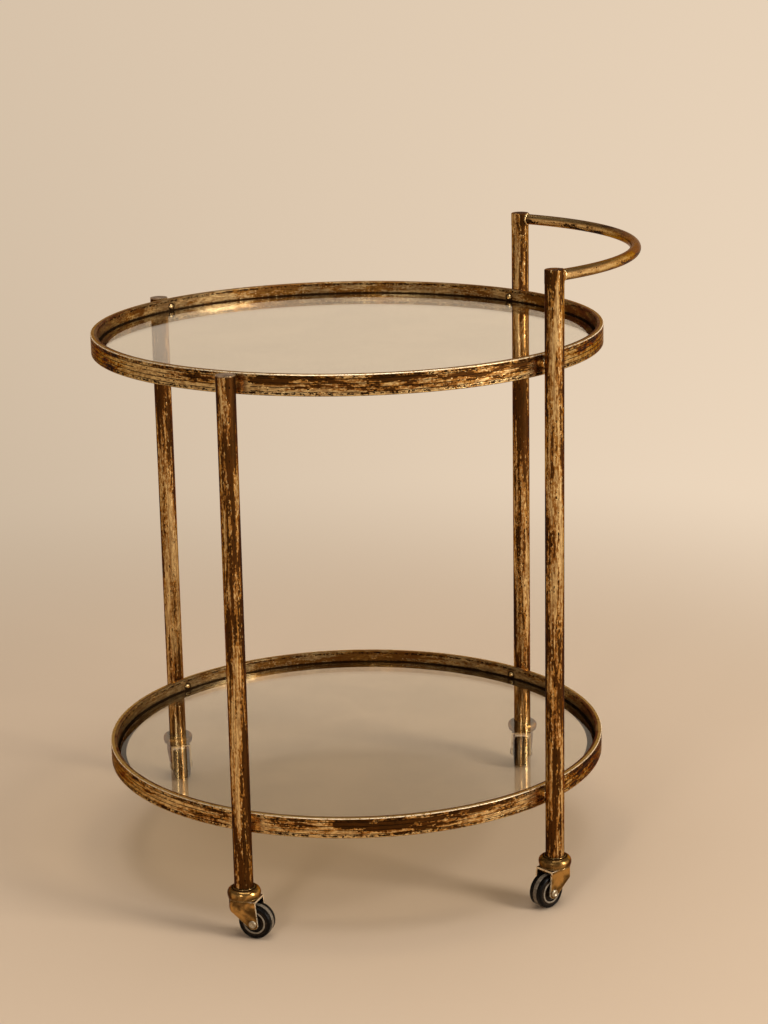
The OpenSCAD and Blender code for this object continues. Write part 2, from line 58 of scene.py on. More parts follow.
# ---------------------------------------------------------------- sizes of the pieces
RING_T = 7.5 * MM
RING_EDGE = 0.8 * MM
LEDGE_W = 10.5 * MM
LEDGE_T = 3 * MM
GROOVES = 4
GROOVE_W = 0.9 * MM
GROOVE_DEEP = 0.5 * MM
PATCH_DEEP = 0.25 * MM
PATCH_HALF = math.radians(4)
SCREW_DROP = 10.5 * MM
SPACER_R = 6.25 * MM
SLEEVE_LIP = 0.25 * MM
POST_WALL = 1.5 * MM
PLUG_GAP = 0.1 * MM
COLLAR_LIP = 1 * MM

TRAIL = 15 * MM
WHEEL_R = 20 * MM
TYRE_R = 19.5 * MM
RIM_R = 15.9 * MM
SIDE_Y = 9 * MM
BAND_HALF = 2.6 * MM
LEG_OUT = 13.2 * MM
LEG_END = 6.5 * MM
LEG_REACH = 3.6 * MM
FORK_T = 2.2 * MM
FORK_TOP = 46.8 * MM
FORK_FRONT = 17.6 * MM
FORK_TAIL = 18 * MM
SKIRT = 9 * MM

# ---------------------------------------------------------------- sizes from the frame
glass_low, glass_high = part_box("upper_glass")
ring_low, ring_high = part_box("upper_ring")
middle = (glass_low + glass_high) / 2
middle.z = 0.0
ring_r = middle.x - ring_low.x
ring_h = ring_high.z - ring_low.z
ring_top = {tier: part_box(tier + "_ring")[1].z for tier in TIERS}
glass_r = (glass_high.x - glass_low.x) / 2

post_low, post_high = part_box("post_front_left")
post_r = (post_high.x - post_low.x) / 2
post_foot = post_low.z
plug_r = post_r - POST_WALL - PLUG_GAP
joint_of = {joint["child"]: joint for joint in frame["joints"]}
post_at = {}
heading = {}
for corner in CORNERS:
    low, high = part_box("post_" + corner)
    post_at[corner] = Vector(((low.x + high.x) / 2, (low.y + high.y) / 2, 0))
    axle_axis = joint_of["wheel_" + corner]["axis"]
    heading[corner] = math.atan2(-axle_axis[0], axle_axis[1])
post_angle = {c: math.atan2((post_at[c] - middle).y, (post_at[c] - middle).x) for c in CORNERS}
post_circle_r = (post_at["front_right"] - middle).length

rod_low, rod_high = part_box("handle_bow")
sleeve_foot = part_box("post_front_right")[1].z
rod_r = (rod_high.z - rod_low.z) / 2 - COLLAR_LIP
rod_z = (rod_high.z + rod_low.z) / 2
bow_tip = rod_high.x - rod_r
front_post, back_post = (post_at[c] for c in TALL)
half_span = (back_post.y - front_post.y) / 2
sagitta = bow_tip - back_post.x
bow_r = (half_span ** 2 + sagitta ** 2) / (2 * sagitta)
bow_middle = Vector((bow_tip - bow_r, (back_post.y + front_post.y) / 2, 0))
bow_half = math.atan2(half_span, back_post.x - bow_middle.x)


# ---------------------------------------------------------------- modelling helpers
def select_only(piece):
    bpy.ops.object.select_all(action="DESELECT")
    piece.select_set(True)
    bpy.context.view_layer.objects.active = piece


def open_for_edit(piece):
    """Opens one piece in edit mode, with nothing else selected."""
    select_only(piece)
    bpy.ops.object.mode_set(mode="EDIT")


def close_edit():
    bpy.ops.object.mode_set(mode="OBJECT")


def new_piece(name, add, **sizes):
    """Adds a primitive under its name and leaves it alone selected, in object mode."""
    bpy.ops.object.select_all(action="DESELECT")
    add(**sizes)
    piece = bpy.context.active_object
    piece.name = name
    piece.data.name = name
    bpy.ops.object.transform_apply(location=True, rotation=True, scale=True)
    return piece


def pick(piece, kind, parts, test):
    """Selects the points, edges or faces that pass the test, of a piece in edit mode."""
    bpy.ops.mesh.select_mode(type=kind)
    bpy.ops.mesh.select_all(action="DESELECT")
    mesh = bmesh.from_edit_mesh(piece.data)
    for part in getattr(mesh, parts):
        part.select_set(bool(test(part)))
    mesh.select_flush_mode()
    bmesh.update_edit_mesh(piece.data)


def pick_faces(piece, test):
    """Selects the faces whose middle and normal pass the test."""
    pick(piece, "FACE", "faces", lambda face: test(face.calc_center_median(), face.normal))


def pick_verts(piece, test):
    """Selects the points whose place passes the test."""
    pick(piece, "VERT", "verts", lambda vert: test(vert.co))


def pick_edges(piece, test):
    """Selects the edges whose two ends pass the test."""
    pick(piece, "EDGE", "edges", lambda edge: test(edge.verts[0].co, edge.verts[1].co))


def drawn_line(name, points):
    """One vertex, extruded from point to point, and left open in edit mode, all selected."""
    piece = new_piece(name, bpy.ops.mesh.primitive_plane_add, size=MM)
    open_for_edit(piece)
    bpy.ops.mesh.select_mode(type="VERT")
    bpy.ops.mesh.select_all(action="SELECT")
    bpy.ops.mesh.merge(type="CENTER")
    here = Vector(points[0])
    bpy.ops.transform.translate(value=here)
    for point in points[1:]:
        bpy.ops.mesh.extrude_vertices_move(TRANSFORM_OT_translate={"value": Vector(point) - here})
        here = Vector(point)
    bpy.ops.mesh.select_all(action="SELECT")
    bpy.ops.mesh.remove_doubles(threshold=0.001 * MM)
    return piece


def close_surface():
    """Merges doubles and turns all faces of the piece in edit mode outwards."""
    bpy.ops.mesh.select_all(action="SELECT")
    bpy.ops.mesh.remove_doubles(threshold=0.005 * MM)
    bpy.ops.mesh.normals_make_consistent(inside=False)


def turned(name, profile, steps=96, closed=True):
    """Piece turned about +Z from (radius, height) points. Ends at radius 0 close at the axis."""
    points = [(x, 0, z) for x, z in profile]
    if closed:
        points.append(points[0])
    piece = drawn_line(name, points)
    bpy.ops.mesh.select_all(action="SELECT")
    bpy.ops.mesh.spin(steps=steps, angle=TURN, center=(0, 0, 0), axis=(0, 0, 1))
    close_surface()
    close_edit()
    return piece


def use_modifier(piece, kind, **settings):
    """Adds a modifier with its settings and applies it."""
    select_only(piece)
    modifier = piece.modifiers.new(kind.lower(), kind)
    for key, value in settings.items():
        setattr(modifier, key, value)
    bpy.ops.object.modifier_apply(modifier=modifier.name)


def soften(piece, width, segments=2, over=30, worn=-1):
    """Rounds the edges sharper than an angle. worn is the material slot of the rounded edges."""
    use_modifier(
        piece, "BEVEL", width=width, segments=segments, limit_method="ANGLE",
        angle_limit=math.radians(over), use_clamp_overlap=True, material=worn,
    )


def give_materials(piece, *materials):
    for material in materials:
        piece.data.materials.append(material)


def paint_faces(piece, slot, test):
    """Gives the faces that pass the test another of the piece's materials."""
    open_for_edit(piece)
    pick_faces(piece, test)
    piece.active_material_index = slot
    bpy.ops.object.material_slot_assign()
    close_edit()


def finish_piece(piece, material, body, slot, *nodes, smooth=35):
    """Smooths, colours and seats a piece on its body, in place of its CAD nodes."""
    select_only(piece)
    bpy.ops.object.shade_smooth_by_angle(angle=math.radians(smooth))
    use_modifier(piece, "WEIGHTED_NORMAL", keep_sharp=True)
    if not piece.data.materials:
        piece.data.materials.append(material)
    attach(piece, body)
    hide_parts(*nodes)


def copy_to(pattern, name, place):
    """Copy of a piece with its own mesh, moved into place."""
    piece = pattern.copy()
    piece.data = pattern.data.copy()
    piece.name = name
    piece.data.name = name
    bpy.context.scene.collection.objects.link(piece)
    piece.data.transform(place)
    return piece


def joined(pieces, name):
    """Several pieces as one object, with its own name."""
    select_only(pieces[0])
    for piece in pieces:
        piece.select_set(True)
    bpy.ops.object.join()
    result = bpy.context.active_object
    result.name = name
    result.data.name = name
    return result


def on_both_sides(piece, name):
    """A piece of a wheel and its copy on the other side, as one."""
    return joined([piece, copy_to(piece, "other side", Matrix.Rotation(math.pi, 4, "X"))], name)


def arc(cx, cz, r, start, end, steps):
    """Points of an arc between two angles in degrees."""
    angles = [math.radians(start + (end - start) * i / steps) for i in range(steps + 1)]
    return [(cx + r * math.cos(a), cz + r * math.sin(a)) for a in angles]


def mirrored(profile):
    """The profile's other half, below height 0."""
    return [(x, -z) for x, z in reversed(profile)]


def at_castor(corner):
    """Place under a post, with +X pointing to the trailing wheel."""
    return Matrix.Translation(post_at[corner]) @ Matrix.Rotation(heading[corner], 4, "Z")


def on_axle(corner):
    """Place of a wheel, with +Z along its axle."""
    axle = Matrix.Translation((TRAIL, 0, WHEEL_R)) @ Matrix.Rotation(math.pi / 2, 4, "X")
    return at_castor(corner) @ axle


def at_fixing(corner, tier):
    """Place of a fixing on the axis of the rings, with +Z pointing out to the post."""
    up = Matrix.Translation((middle.x, middle.y, ring_top[tier] - SCREW_DROP))
    return up @ Matrix.Rotation(post_angle[corner], 4, "Z") @ Matrix.Rotation(math.pi / 2, 4, "Y")


# ---------------------------------------------------------------- material helpers
class Value:
    """Output of a node. Plain arithmetic with it adds the maths nodes."""

    def __init__(self, socket):
        self.socket = socket

    def __add__(self, other):
        return maths("ADD", self, other)

    def __sub__(self, other):
        return maths("SUBTRACT", self, other)

    def __rsub__(self, other):
        return maths("SUBTRACT", other, self)

    def __mul__(self, other):
        return maths("MULTIPLY", self, other)

    def __truediv__(self, other):
        return maths("DIVIDE", self, other)


def tree_of(*values):
    """Node tree that the node outputs among the values are in."""
    return next(v.socket.id_data for v in values if isinstance(v, Value))


def feed(node, inputs):
    """Sets inputs of a node, by name or number, to plain values or to the outputs of nodes."""
    for key, value in inputs.items():
        if isinstance(value, Value):
            node.id_data.links.new(value.socket, node.inputs[key])
        else:
            node.inputs[key].default_value = value


def put(tree, kind, inputs=None, **settings):
    """Adds a node and returns its outputs, by name and by number."""
    node = tree.nodes.new(kind)
    for key, value in settings.items():
        setattr(node, key, value)
    feed(node, inputs or {})
    outputs = {socket.name: Value(socket) for socket in node.outputs}
    outputs.update(enumerate(Value(socket) for socket in node.outputs))
    return outputs


def maths(operation, a, b=0.0, clamp=False):
    return put(tree_of(a, b), "ShaderNodeMath", {0: a, 1: b}, operation=operation, use_clamp=clamp)[0]


def larger(first, *others):
    """Largest of several values."""
    for other in others:
        first = maths("MAXIMUM", first, other)
    return first


def unsigned(value):
    return maths("ABSOLUTE", value)


def vector_maths(operation, a, b=(0, 0, 0)):
    return put(tree_of(a, b), "ShaderNodeVectorMath", {0: a, 1: b}, operation=operation)


def dot(a, b):
    return vector_maths("DOT_PRODUCT", a, b)["Value"]


def length(vector):
    return vector_maths("LENGTH", vector)["Value"]


def parts_of(vector):
    """X, Y and Z of a vector."""
    parts = put(tree_of(vector), "ShaderNodeSeparateXYZ", {0: vector})
    return parts[0], parts[1], parts[2]


def vector_from(x, y, z=0.0):
    return put(tree_of(x, y, z), "ShaderNodeCombineXYZ", {0: x, 1: y, 2: z})[0]


def stretched(place, scale, location=(0, 0, 0)):
    inputs = {"Vector": place, "Location": location, "Scale": scale}
    return put(tree_of(place), "ShaderNodeMapping", inputs)["Vector"]


def ramp(value, low, high, out_low=0.0, out_high=1.0):
    """Smooth step of a value between two limits."""
    limits = {"From Min": low, "From Max": high, "To Min": out_low, "To Max": out_high}
    inputs = {"Value": value, **limits}
    return put(tree_of(value), "ShaderNodeMapRange", inputs, interpolation_type="SMOOTHSTEP")["Result"]


def noise(place, scale, detail=3.0, rough=0.55, distortion=0.0):
    inputs = {"Vector": place, "Scale": scale, "Detail": detail, "Roughness": rough}
    return put(tree_of(place), "ShaderNodeTexNoise", {**inputs, "Distortion": distortion})["Fac"]


def spots(place, scale):
    """Distance from the nearest of many scattered points, and two chances of each point."""
    inputs = {"Vector": place, "Scale": scale, "Randomness": 1.0}
    cells = put(tree_of(place), "ShaderNodeTexVoronoi", inputs)
    chances = put(tree_of(place), "ShaderNodeSeparateColor", {"Color": cells["Color"]})
    return cells["Distance"], chances[0], chances[1]


def mixed(factor, a, b):
    """Colour a, turning into colour b."""
    return put(tree_of(factor, a, b), "ShaderNodeMix", {0: factor, 6: a, 7: b}, data_type="RGBA")[2]


def new_group(name, inputs, outputs):
    """Shared effect: its node tree, its inputs by name, and the node that takes its outputs."""
    group = bpy.data.node_groups.new(name, "ShaderNodeTree")
    for label, (kind, default) in inputs.items():
        socket = group.interface.new_socket(label, in_out="INPUT", socket_type="NodeSocket" + kind)
        if default is not None:
            socket.default_value = default
    for label in outputs:
        group.interface.new_socket(label, in_out="OUTPUT", socket_type="NodeSocketFloat")
    return group, put(group, "NodeGroupInput"), group.nodes.new("NodeGroupOutput")


def use_group(group, **inputs):
    """Adds a shared effect with its inputs and returns its outputs by name."""
    return put(tree_of(*inputs.values()), "ShaderNodeGroup", inputs, node_tree=group)


def new_material(name):
    """Material, its Principled shader and its object coordinates."""
    material = bpy.data.materials.new(name)
    material.use_nodes = True
    tree = material.node_tree
    return material, tree.nodes["Principled BSDF"], put(tree, "ShaderNodeTexCoord")["Object"]


def bump(shader, height, strength, distance):
    """Gives a shader the fine relief of a height."""
    inputs = {"Height": height, "Strength": strength, "Distance": distance}
    feed(shader, {"Normal": put(shader.id_data, "ShaderNodeBump", inputs)["Normal"]})


def blend_surface(shader, factor, other):
    """Surface of a material that turns from its Principled shader into another one."""
    tree = shader.id_data
    inputs = {0: factor, 1: Value(shader.outputs["BSDF"]), 2: other}
    feed(tree.nodes["Material Output"], {"Surface": put(tree, "ShaderNodeMixShader", inputs)["Shader"]})


def srgb(r, g, b):
    """Colour from its values as seen on a screen, 0 to 255."""
    parts = [v / 255 for v in (r, g, b)]
    linear = [v / 12.92 if v <= 0.04045 else ((v + 0.055) / 1.055) ** 2.4 for v in parts]
    return (*linear, 1.0)


# ---------------------------------------------------------------- shared effects
def make_patina():
    """Brown patina with ragged edges, worn metal, pits and bright flecks.

    Along is the place with its long direction squeezed, which draws the streaks out.
    """
    group, given, result = new_group(
        "patina",
        {
            "Place": ("Vector", None), "Along": ("Vector", None), "Scale": ("Float", 125.0),
            "Cover": ("Float", 0.5), "Drift": ("Float", 0.06), "Pits": ("Float", 0.5),
        },
        ("Patina", "Worn", "Pits", "Flecks", "Grain", "Height"),
    )
    place, along, scale = given["Place"], given["Along"], given["Scale"]
    wide = noise(along, scale * 0.3, 1.0, 0.5)
    streak = noise(along, scale, 2.0, 0.55, 0.4)
    ragged = noise(place, scale * 1.9, 3.0, 0.62)
    slow = noise(place, 5.5, 1.0, 0.5)
    fine = noise(along, scale * 2.4, 2.0, 0.6)
    body = wide * 0.8 + streak * 0.9 + ragged * 0.5
    body_middle = 1.1
    drift = (slow - 0.5) * (given["Drift"] * 10.0)
    # Above 0 where the patina covers the metal
    level = (body - body_middle) + (given["Cover"] - 0.5) + drift
    patina = ramp(level, -0.025, 0.025)
    worn = ramp(level, -0.06, -0.15)
    distance, chance, _ = spots(place, scale * 1.7)
    size = ramp(chance + (streak - 0.5) * 1.2, 1.0 - given["Pits"], 1.15, 0.0, 0.42)
    depth = size - distance - (ragged - 0.5) * 0.7
    pits = ramp(depth, 0.0, 0.10) * ramp(size, 0.0, 0.08)
    # Bright flecks along the rims of the patina
    distance, _, rare = spots(place, scale * 2.3)
    rim = ramp(unsigned(level + 0.03), 0.05, 0.02)
    flecks = ramp(rare, 0.55, 0.65) * ramp(distance, 0.50, 0.25) * rim
    feed(result, {
        "Patina": patina,
        "Worn": worn,
        "Pits": pits,
        "Flecks": flecks,
        "Grain": ramp(fine * 0.6 + ragged * 0.4, 0.41, 0.58),
        "Height": ragged * 0.35 - (patina * 0.35 + pits * 0.9),
    })
    return group


def make_edge_wear():
    """Mask of rubbed edges, ragged by a noise."""
    group, given, result = new_group(
        "edge wear",
        {"Place": ("Vector", None), "Radius": ("Float", 0.6 * MM), "Raggedness": ("Float", 0.5)},
        ("Mask",),
    )
    rounded = put(group, "ShaderNodeBevel", {"Radius": given["Radius"]}, samples=4)["Normal"]
    flat = put(group, "ShaderNodeNewGeometry")["Normal"]
    bend = 1.0 - dot(rounded, flat)
    rag = noise(given["Place"], 900.0, 3.0, 0.6) * given["Raggedness"]
    feed(result, {"Mask": ramp(bend - rag * 0.12, 0.0, 0.07)})
    return group


def make_smudges():
    """Cloudy smudges and fine scratches for roughness and height."""
    group, given, result = new_group(
        "smudges", {"Place": ("Vector", None), "Scale": ("Float", 60.0)}, ("Clouds", "Scratches"),
    )
    clouds = noise(given["Place"], given["Scale"], 4.0, 0.6, 0.4)
    scratches = noise(stretched(given["Place"], (1.0, 0.08, 0.6)), 2600.0, 2.0, 0.5)
    feed(result, {"Clouds": ramp(clouds, 0.3, 0.7), "Scratches": ramp(scratches, 0.55, 0.8)})
    return group


PATINA = make_patina()
EDGE_WEAR = make_edge_wear()
SMUDGES = make_smudges()

# Brass, from dark patina to rubbed metal
DARK = srgb(38, 20, 6)
BROWN = srgb(82, 47, 16)
AMBER = srgb(116, 70, 24)
REDDISH = srgb(142, 84, 44)
GOLD = srgb(190, 138, 66)
BRIGHT = srgb(240, 208, 148)
# Painted shade: a specular tint that turns the brass darker and redder at a glancing look, which darkens
# the edges of tubes and rings
GLANCING_SHADE_TINT = srgb(150, 116, 78)


def aged_brass(shader, patina, worn, pits, clouds, bright, gold=GOLD, brown=BROWN, polish=0.23, grain=0.3):
    """Colour, metal and roughness of aged brass from its masks."""
    base = mixed(clouds * 0.6, gold, REDDISH)
    base = mixed(worn * 0.8, base, BRIGHT)
    base = mixed(grain * 0.62, base, AMBER)
    deep = mixed((clouds + grain) * 0.5, DARK, brown)
    colour = mixed(patina * 0.96, base, deep)
    colour = mixed(bright, colour, BRIGHT)
    dull = larger(patina * 0.8, pits) * (1.0 - bright)
    feed(shader, {
        "Base Color": mixed(pits, colour, DARK),
        "Metallic": 1.0 - dull * 0.25,
        "Roughness": dull * 0.20 + polish + clouds * 0.07,
        "Specular IOR Level": 0.25,
        # The specular tint paints shade on the edges seen at a glancing look
        "Specular Tint": GLANCING_SHADE_TINT,
    })


def make_post_brass():
    """Tubes: streaks run up and down."""
    material, shader, place = new_material("post brass")
    along = stretched(place, (1.0, 1.0, 0.07))
    near = stretched(place, (1.0, 1.0, 0.42))
    x, _, z = parts_of(place)
    # Lighter near the feet and on the handle's side, darker on the sleeves and near the handle
    cover = ramp(z, 0.08, 0.55, 0.455, 0.475) + ramp(x, -0.2, 0.2, 0.025, -0.03)
    cover = cover + ramp(z, sleeve_foot - MM, sleeve_foot + 2 * MM, 0.0, 0.07)
    cover = cover + ramp(z, 0.56, 0.70, 0.0, 0.05)
    marks = use_group(PATINA, Place=near, Along=along, Scale=235.0, Cover=cover, Drift=0.03, Pits=0.55)
    clouds = use_group(SMUDGES, Place=along, Scale=150.0)["Clouds"]
    aged_brass(
        shader, marks["Patina"], marks["Worn"], marks["Pits"], clouds, marks["Flecks"] * 0.8,
        grain=marks["Grain"],
    )
    bump(shader, marks["Height"], 0.6, 0.22 * MM)
    return material


def fixing_distance(centred, level):
    """Distance along a band from the nearest spacer or screw."""
    rise = (level - (1 - SCREW_DROP / ring_h)) * ring_h
    nearest = None
    for angle in post_angle.values():
        c, s = math.cos(angle), math.sin(angle)
        side = dot(centred, (-s, c, 0))
        # Adds a metre on the far side of the ring
        far_side = maths("LESS_THAN", dot(centred, (c, s, 0)), 0.0)
        distance = length(vector_from(side, rise, far_side))
        nearest = distance if nearest is None else maths("MINIMUM", nearest, distance)
    return nearest


def make_ring_brass():
    """Rings: streaks run round the band, grooves are dark, and the rims carry rubbed metal, painted
    highlight and painted shade.
    """
    material, shader, place = new_material("ring brass")
    centred = stretched(place, (1, 1, 1), (-middle.x, -middle.y, 0))
    x, y, z = parts_of(centred)
    radius = length(vector_from(x, y))
    # Height within the band, 0 to 1, on either ring
    is_upper = maths("GREATER_THAN", z, (ring_top["upper"] + ring_top["lower"]) / 2)
    foot = is_upper * (ring_top["upper"] - ring_top["lower"]) + (ring_top["lower"] - ring_h)
    level = (z - foot) / ring_h
    along = stretched(place, (0.20, 0.20, 1.0))
    near = stretched(place, (0.7, 0.7, 1.0))
    fixing = fixing_distance(centred, level)
    # More patina high on the band and towards the front right, less beside the posts
    cover = ramp(level, 0.15, 0.45, 0.28, 0.37) + ramp(level, 0.55, 0.75, 0.0, 0.07)
    cover = cover + ramp(x - y, -0.2, 0.3, -0.07, 0.04)
    cover = cover - ramp(fixing, 32 * MM, 18 * MM, 0.0, 0.16) - ramp(unsigned(x), 0.22, 0.30, 0.0, 0.02)
    marks = use_group(PATINA, Place=near, Along=along, Scale=210.0, Cover=cover, Drift=0.05, Pits=0.42)
    clouds = use_group(SMUDGES, Place=along, Scale=140.0)["Clouds"]
    wobble = noise(near, 380.0, 3.0, 0.65)
    lean = wobble - 0.5
    outside = ramp(radius, ring_r - 2 * GROOVE_DEEP, ring_r - 1.6 * GROOVE_DEEP)
    in_groove = ramp(radius, ring_r - 0.35 * GROOVE_DEEP, ring_r - 0.75 * GROOVE_DEEP)
    broken = ramp(noise(along, 320.0, 2.0, 0.6), 0.36, 0.46)
    groove = outside * in_groove * broken
    # Ragged dark rows of pits near both edges of the band
    ragged = level + lean * 0.16
    row = unsigned(unsigned(ragged - 0.5) - 0.385)
    edge_rows = ramp(row, 0.065, 0.035) * ramp(noise(near, 300.0, 3.0, 0.7), 0.46, 0.54)
    # Rims: rubbed metal and painted highlight on the outside, painted shade on the inner half of the top,
    # towards the glass
    top_rim = ramp(level + lean * 0.05, 0.950, 0.965)
    low_rim = ramp(level, 0.075, 0.05) * ramp(wobble, 0.50, 0.60)
    outer_half = ramp(radius, ring_r - 0.62 * RING_T, ring_r - 0.5 * RING_T)
    rim_wear_and_painted_highlight = larger(top_rim * outer_half, low_rim * outside)
    rim_painted_shade = top_rim * (1.0 - outer_half)
    # The inside is smoother than the outside, with painted shade in the gap beside the glass
    inside_share = ramp(outside, 0.0, 1.0, 0.6, 1.0)
    haze = (1.0 - outside) * ramp(clouds, 0.1, 0.9, 0.25, 0.65)
    inner_r = ring_r - RING_T
    inner_face = ramp(radius, inner_r + 0.5 * MM, inner_r + 0.2 * MM)
    painted_shade_beside_glass = inner_face * ramp(ragged, 0.46, 0.42)
    # Shade round the spacers and screws
    uneven = fixing + lean * (3 * MM)
    round_shade = ramp(uneven, 9.5 * MM, 6.5 * MM, 0.0, 0.85)
    round_line = ramp(uneven, 6.0 * MM, 5.0 * MM, 0.0, 0.9)
    # The patina mask here also carries painted shade on the inner top rim and round the fixings, and the
    # pits carry painted shade beside the glass and round the screws
    patina = larger(larger(marks["Patina"], rim_painted_shade) * inside_share, haze, round_shade * 0.7)
    pits = larger(
        marks["Pits"] * inside_share, groove * 0.92, edge_rows, painted_shade_beside_glass * 0.95,
        round_line * inner_face,
    )
    bright = larger(rim_wear_and_painted_highlight, marks["Flecks"] * 0.8)
    aged_brass(shader, patina, marks["Worn"], pits, clouds, bright * 0.85, grain=marks["Grain"])
    bump(shader, marks["Height"] - edge_rows * 0.7, 0.55, 0.22 * MM)
    return material


def make_handle_brass():
    """Handle: smoother, with a few streaks along the rod."""
    material, shader, place = new_material("handle brass")
    x, y, z = parts_of(stretched(place, (1, 1, 1), (-bow_middle.x, -bow_middle.y, 0)))
    angle = maths("ARCTAN2", y, x)
    run = vector_from(angle * (bow_r * 0.18), length(vector_from(x, y)), z)
    marks = use_group(PATINA, Place=place, Along=run, Scale=210.0, Cover=0.50, Drift=0.05, Pits=0.35)
    clouds = use_group(SMUDGES, Place=run, Scale=120.0)["Clouds"]
    # Painted shade: darker on the upper side of the rod at the back, and on its lower side at the front; it
    # joins the patina mask
    rise = z - rod_z
    upper = ramp(rise, 0.1 * rod_r, 0.7 * rod_r) * ramp(angle, -0.15, 0.25)
    lower = ramp(rise, -0.15 * rod_r, -0.6 * rod_r) * ramp(angle, 0.1, -0.2)
    painted_rod_shade = larger(upper, lower) * ramp(clouds, 0.1, 0.6, 0.95, 0.6)
    patches = marks["Patina"] * ramp(rise, 0.5 * rod_r, 0.0, 0.25, 1.0)
    aged_brass(
        shader, larger(patches, painted_rod_shade), marks["Worn"], marks["Pits"], clouds * 0.5,
        marks["Flecks"] * 0.6, gold=srgb(228, 186, 124), polish=0.17, grain=marks["Grain"] * 0.4,
    )
    bump(shader, marks["Height"], 0.22, 0.2 * MM)
    return material


def make_castor_brass():
    """Cups and forks: smooth aged brass with soft brown clouds, and painted shade round the axle and the
    gap below the cup.
    """
    material, shader, place = new_material("castor brass")
    soft = noise(place, 60.0, 2.0, 0.5, 0.5)
    marks = use_group(PATINA, Place=place, Along=place, Scale=200.0, Cover=0.2, Drift=0.0, Pits=0.18)
    wear = use_group(EDGE_WEAR, Place=place, Radius=0.8 * MM, Raggedness=0.4)["Mask"]
    smears = use_group(SMUDGES, Place=place, Scale=170.0)
    # Painted shade, darker round the axle and on both sides of the gap below the cup, joins the patina mask
    uneven = parts_of(place)[2] + (soft - 0.5) * (14 * MM)
    painted_shade_by_axle = ramp(uneven, WHEEL_R + 10 * MM, WHEEL_R - 4 * MM, 0.0, 0.8)
    painted_shade_by_gap = ramp(unsigned(uneven - FORK_TOP), 7 * MM, MM, 0.0, 0.85)
    patina = larger(ramp(soft, 0.38, 0.66, 0.05, 0.9), painted_shade_by_axle, painted_shade_by_gap)
    aged_brass(
        shader, patina, 0.0, marks["Pits"] * 0.6, smears["Clouds"] * 0.25, wear * 0.85,
        gold=srgb(204, 158, 90), brown=srgb(66, 40, 14), polish=0.16, grain=0.1,
    )
    bump(shader, smears["Scratches"] * -0.3 - marks["Pits"], 0.18, 0.1 * MM)
    return material


def make_rubbed_and_lit_edge():
    """Edges of brass that are rubbed to bright metal, with a few dull places. The pale colour is partly
    diffuse, so it is also a painted highlight.
    """
    material, shader, place = new_material("rubbed brass edge with painted highlight")
    marks = use_group(SMUDGES, Place=place, Scale=300.0)
    dull = ramp(noise(place, 420.0, 3.0, 0.6), 0.52, 0.66)
    feed(shader, {
        "Base Color": mixed(dull, srgb(250, 226, 188), srgb(160, 112, 62)),
        # Only partly metallic, so the pale colour shows as a painted highlight
        "Metallic": ramp(dull, 0.0, 1.0, 0.6, 0.95),
        "Roughness": ramp(marks["Clouds"], 0.0, 1.0, 0.28, 0.42),
    })
    bump(shader, marks["Scratches"], 0.2, 0.08 * MM)
    return material


def make_dark_brass():
    """Sockets and recesses: dark patina, rubbed bright at the edges. In the recess round the tube the dark
    colour is painted shade.
    """
    material, shader, place = new_material("dark brass")
    marks = use_group(PATINA, Place=place, Along=place, Scale=230.0, Cover=0.75, Drift=0.0, Pits=0.3)
    wear = use_group(EDGE_WEAR, Place=place, Radius=0.45 * MM, Raggedness=0.6)["Mask"]
    clouds = use_group(SMUDGES, Place=place, Scale=300.0)["Clouds"]
    aged_brass(
        shader, larger(marks["Patina"], 0.94), 0.0, marks["Pits"], clouds * 0.5, wear,
        brown=srgb(56, 34, 14), polish=0.32,
    )
    bump(shader, marks["Height"], 0.3, 0.1 * MM)
    return material


def make_fixing_brass(name, gold, cover):
    """Spacers and screws: pale polished brass with turning marks and a little tarnish."""
    material, shader, place = new_material(name)
    marks = use_group(PATINA, Place=place, Along=place, Scale=220.0, Cover=cover, Drift=0.0, Pits=0.2)
    wear = use_group(EDGE_WEAR, Place=place, Radius=0.5 * MM, Raggedness=0.4)["Mask"]
    smears = use_group(SMUDGES, Place=place, Scale=260.0)
    aged_brass(
        shader, marks["Patina"] * 0.6, marks["Worn"], marks["Pits"], smears["Clouds"] * 0.5, wear,
        gold=gold,
    )
    bump(shader, smears["Scratches"], 0.15, 0.1 * MM)
    return material


def make_cap_brass():
    """Flat caps: dull brown discs with a thin bright rim."""
    material, shader, place = new_material("cap brass")
    marks = use_group(PATINA, Place=place, Along=place, Scale=200.0, Cover=0.45, Drift=0.0, Pits=0.25)
    wear = use_group(EDGE_WEAR, Place=place, Radius=0.8 * MM, Raggedness=0.35)["Mask"]
    smears = use_group(SMUDGES, Place=place, Scale=220.0)
    colour = mixed(marks["Patina"], srgb(146, 116, 90), srgb(104, 78, 56))
    colour = mixed(marks["Pits"] * 0.7, colour, DARK)
    feed(shader, {
        "Base Color": mixed(wear * 0.8, colour, BRIGHT),
        "Metallic": ramp(wear, 0.0, 1.0, 0.8, 1.0),
        "Roughness": ramp(smears["Clouds"], 0.0, 1.0, 0.40, 0.52),
    })
    bump(shader, marks["Height"] + smears["Scratches"], 0.2, 0.1 * MM)
    return material


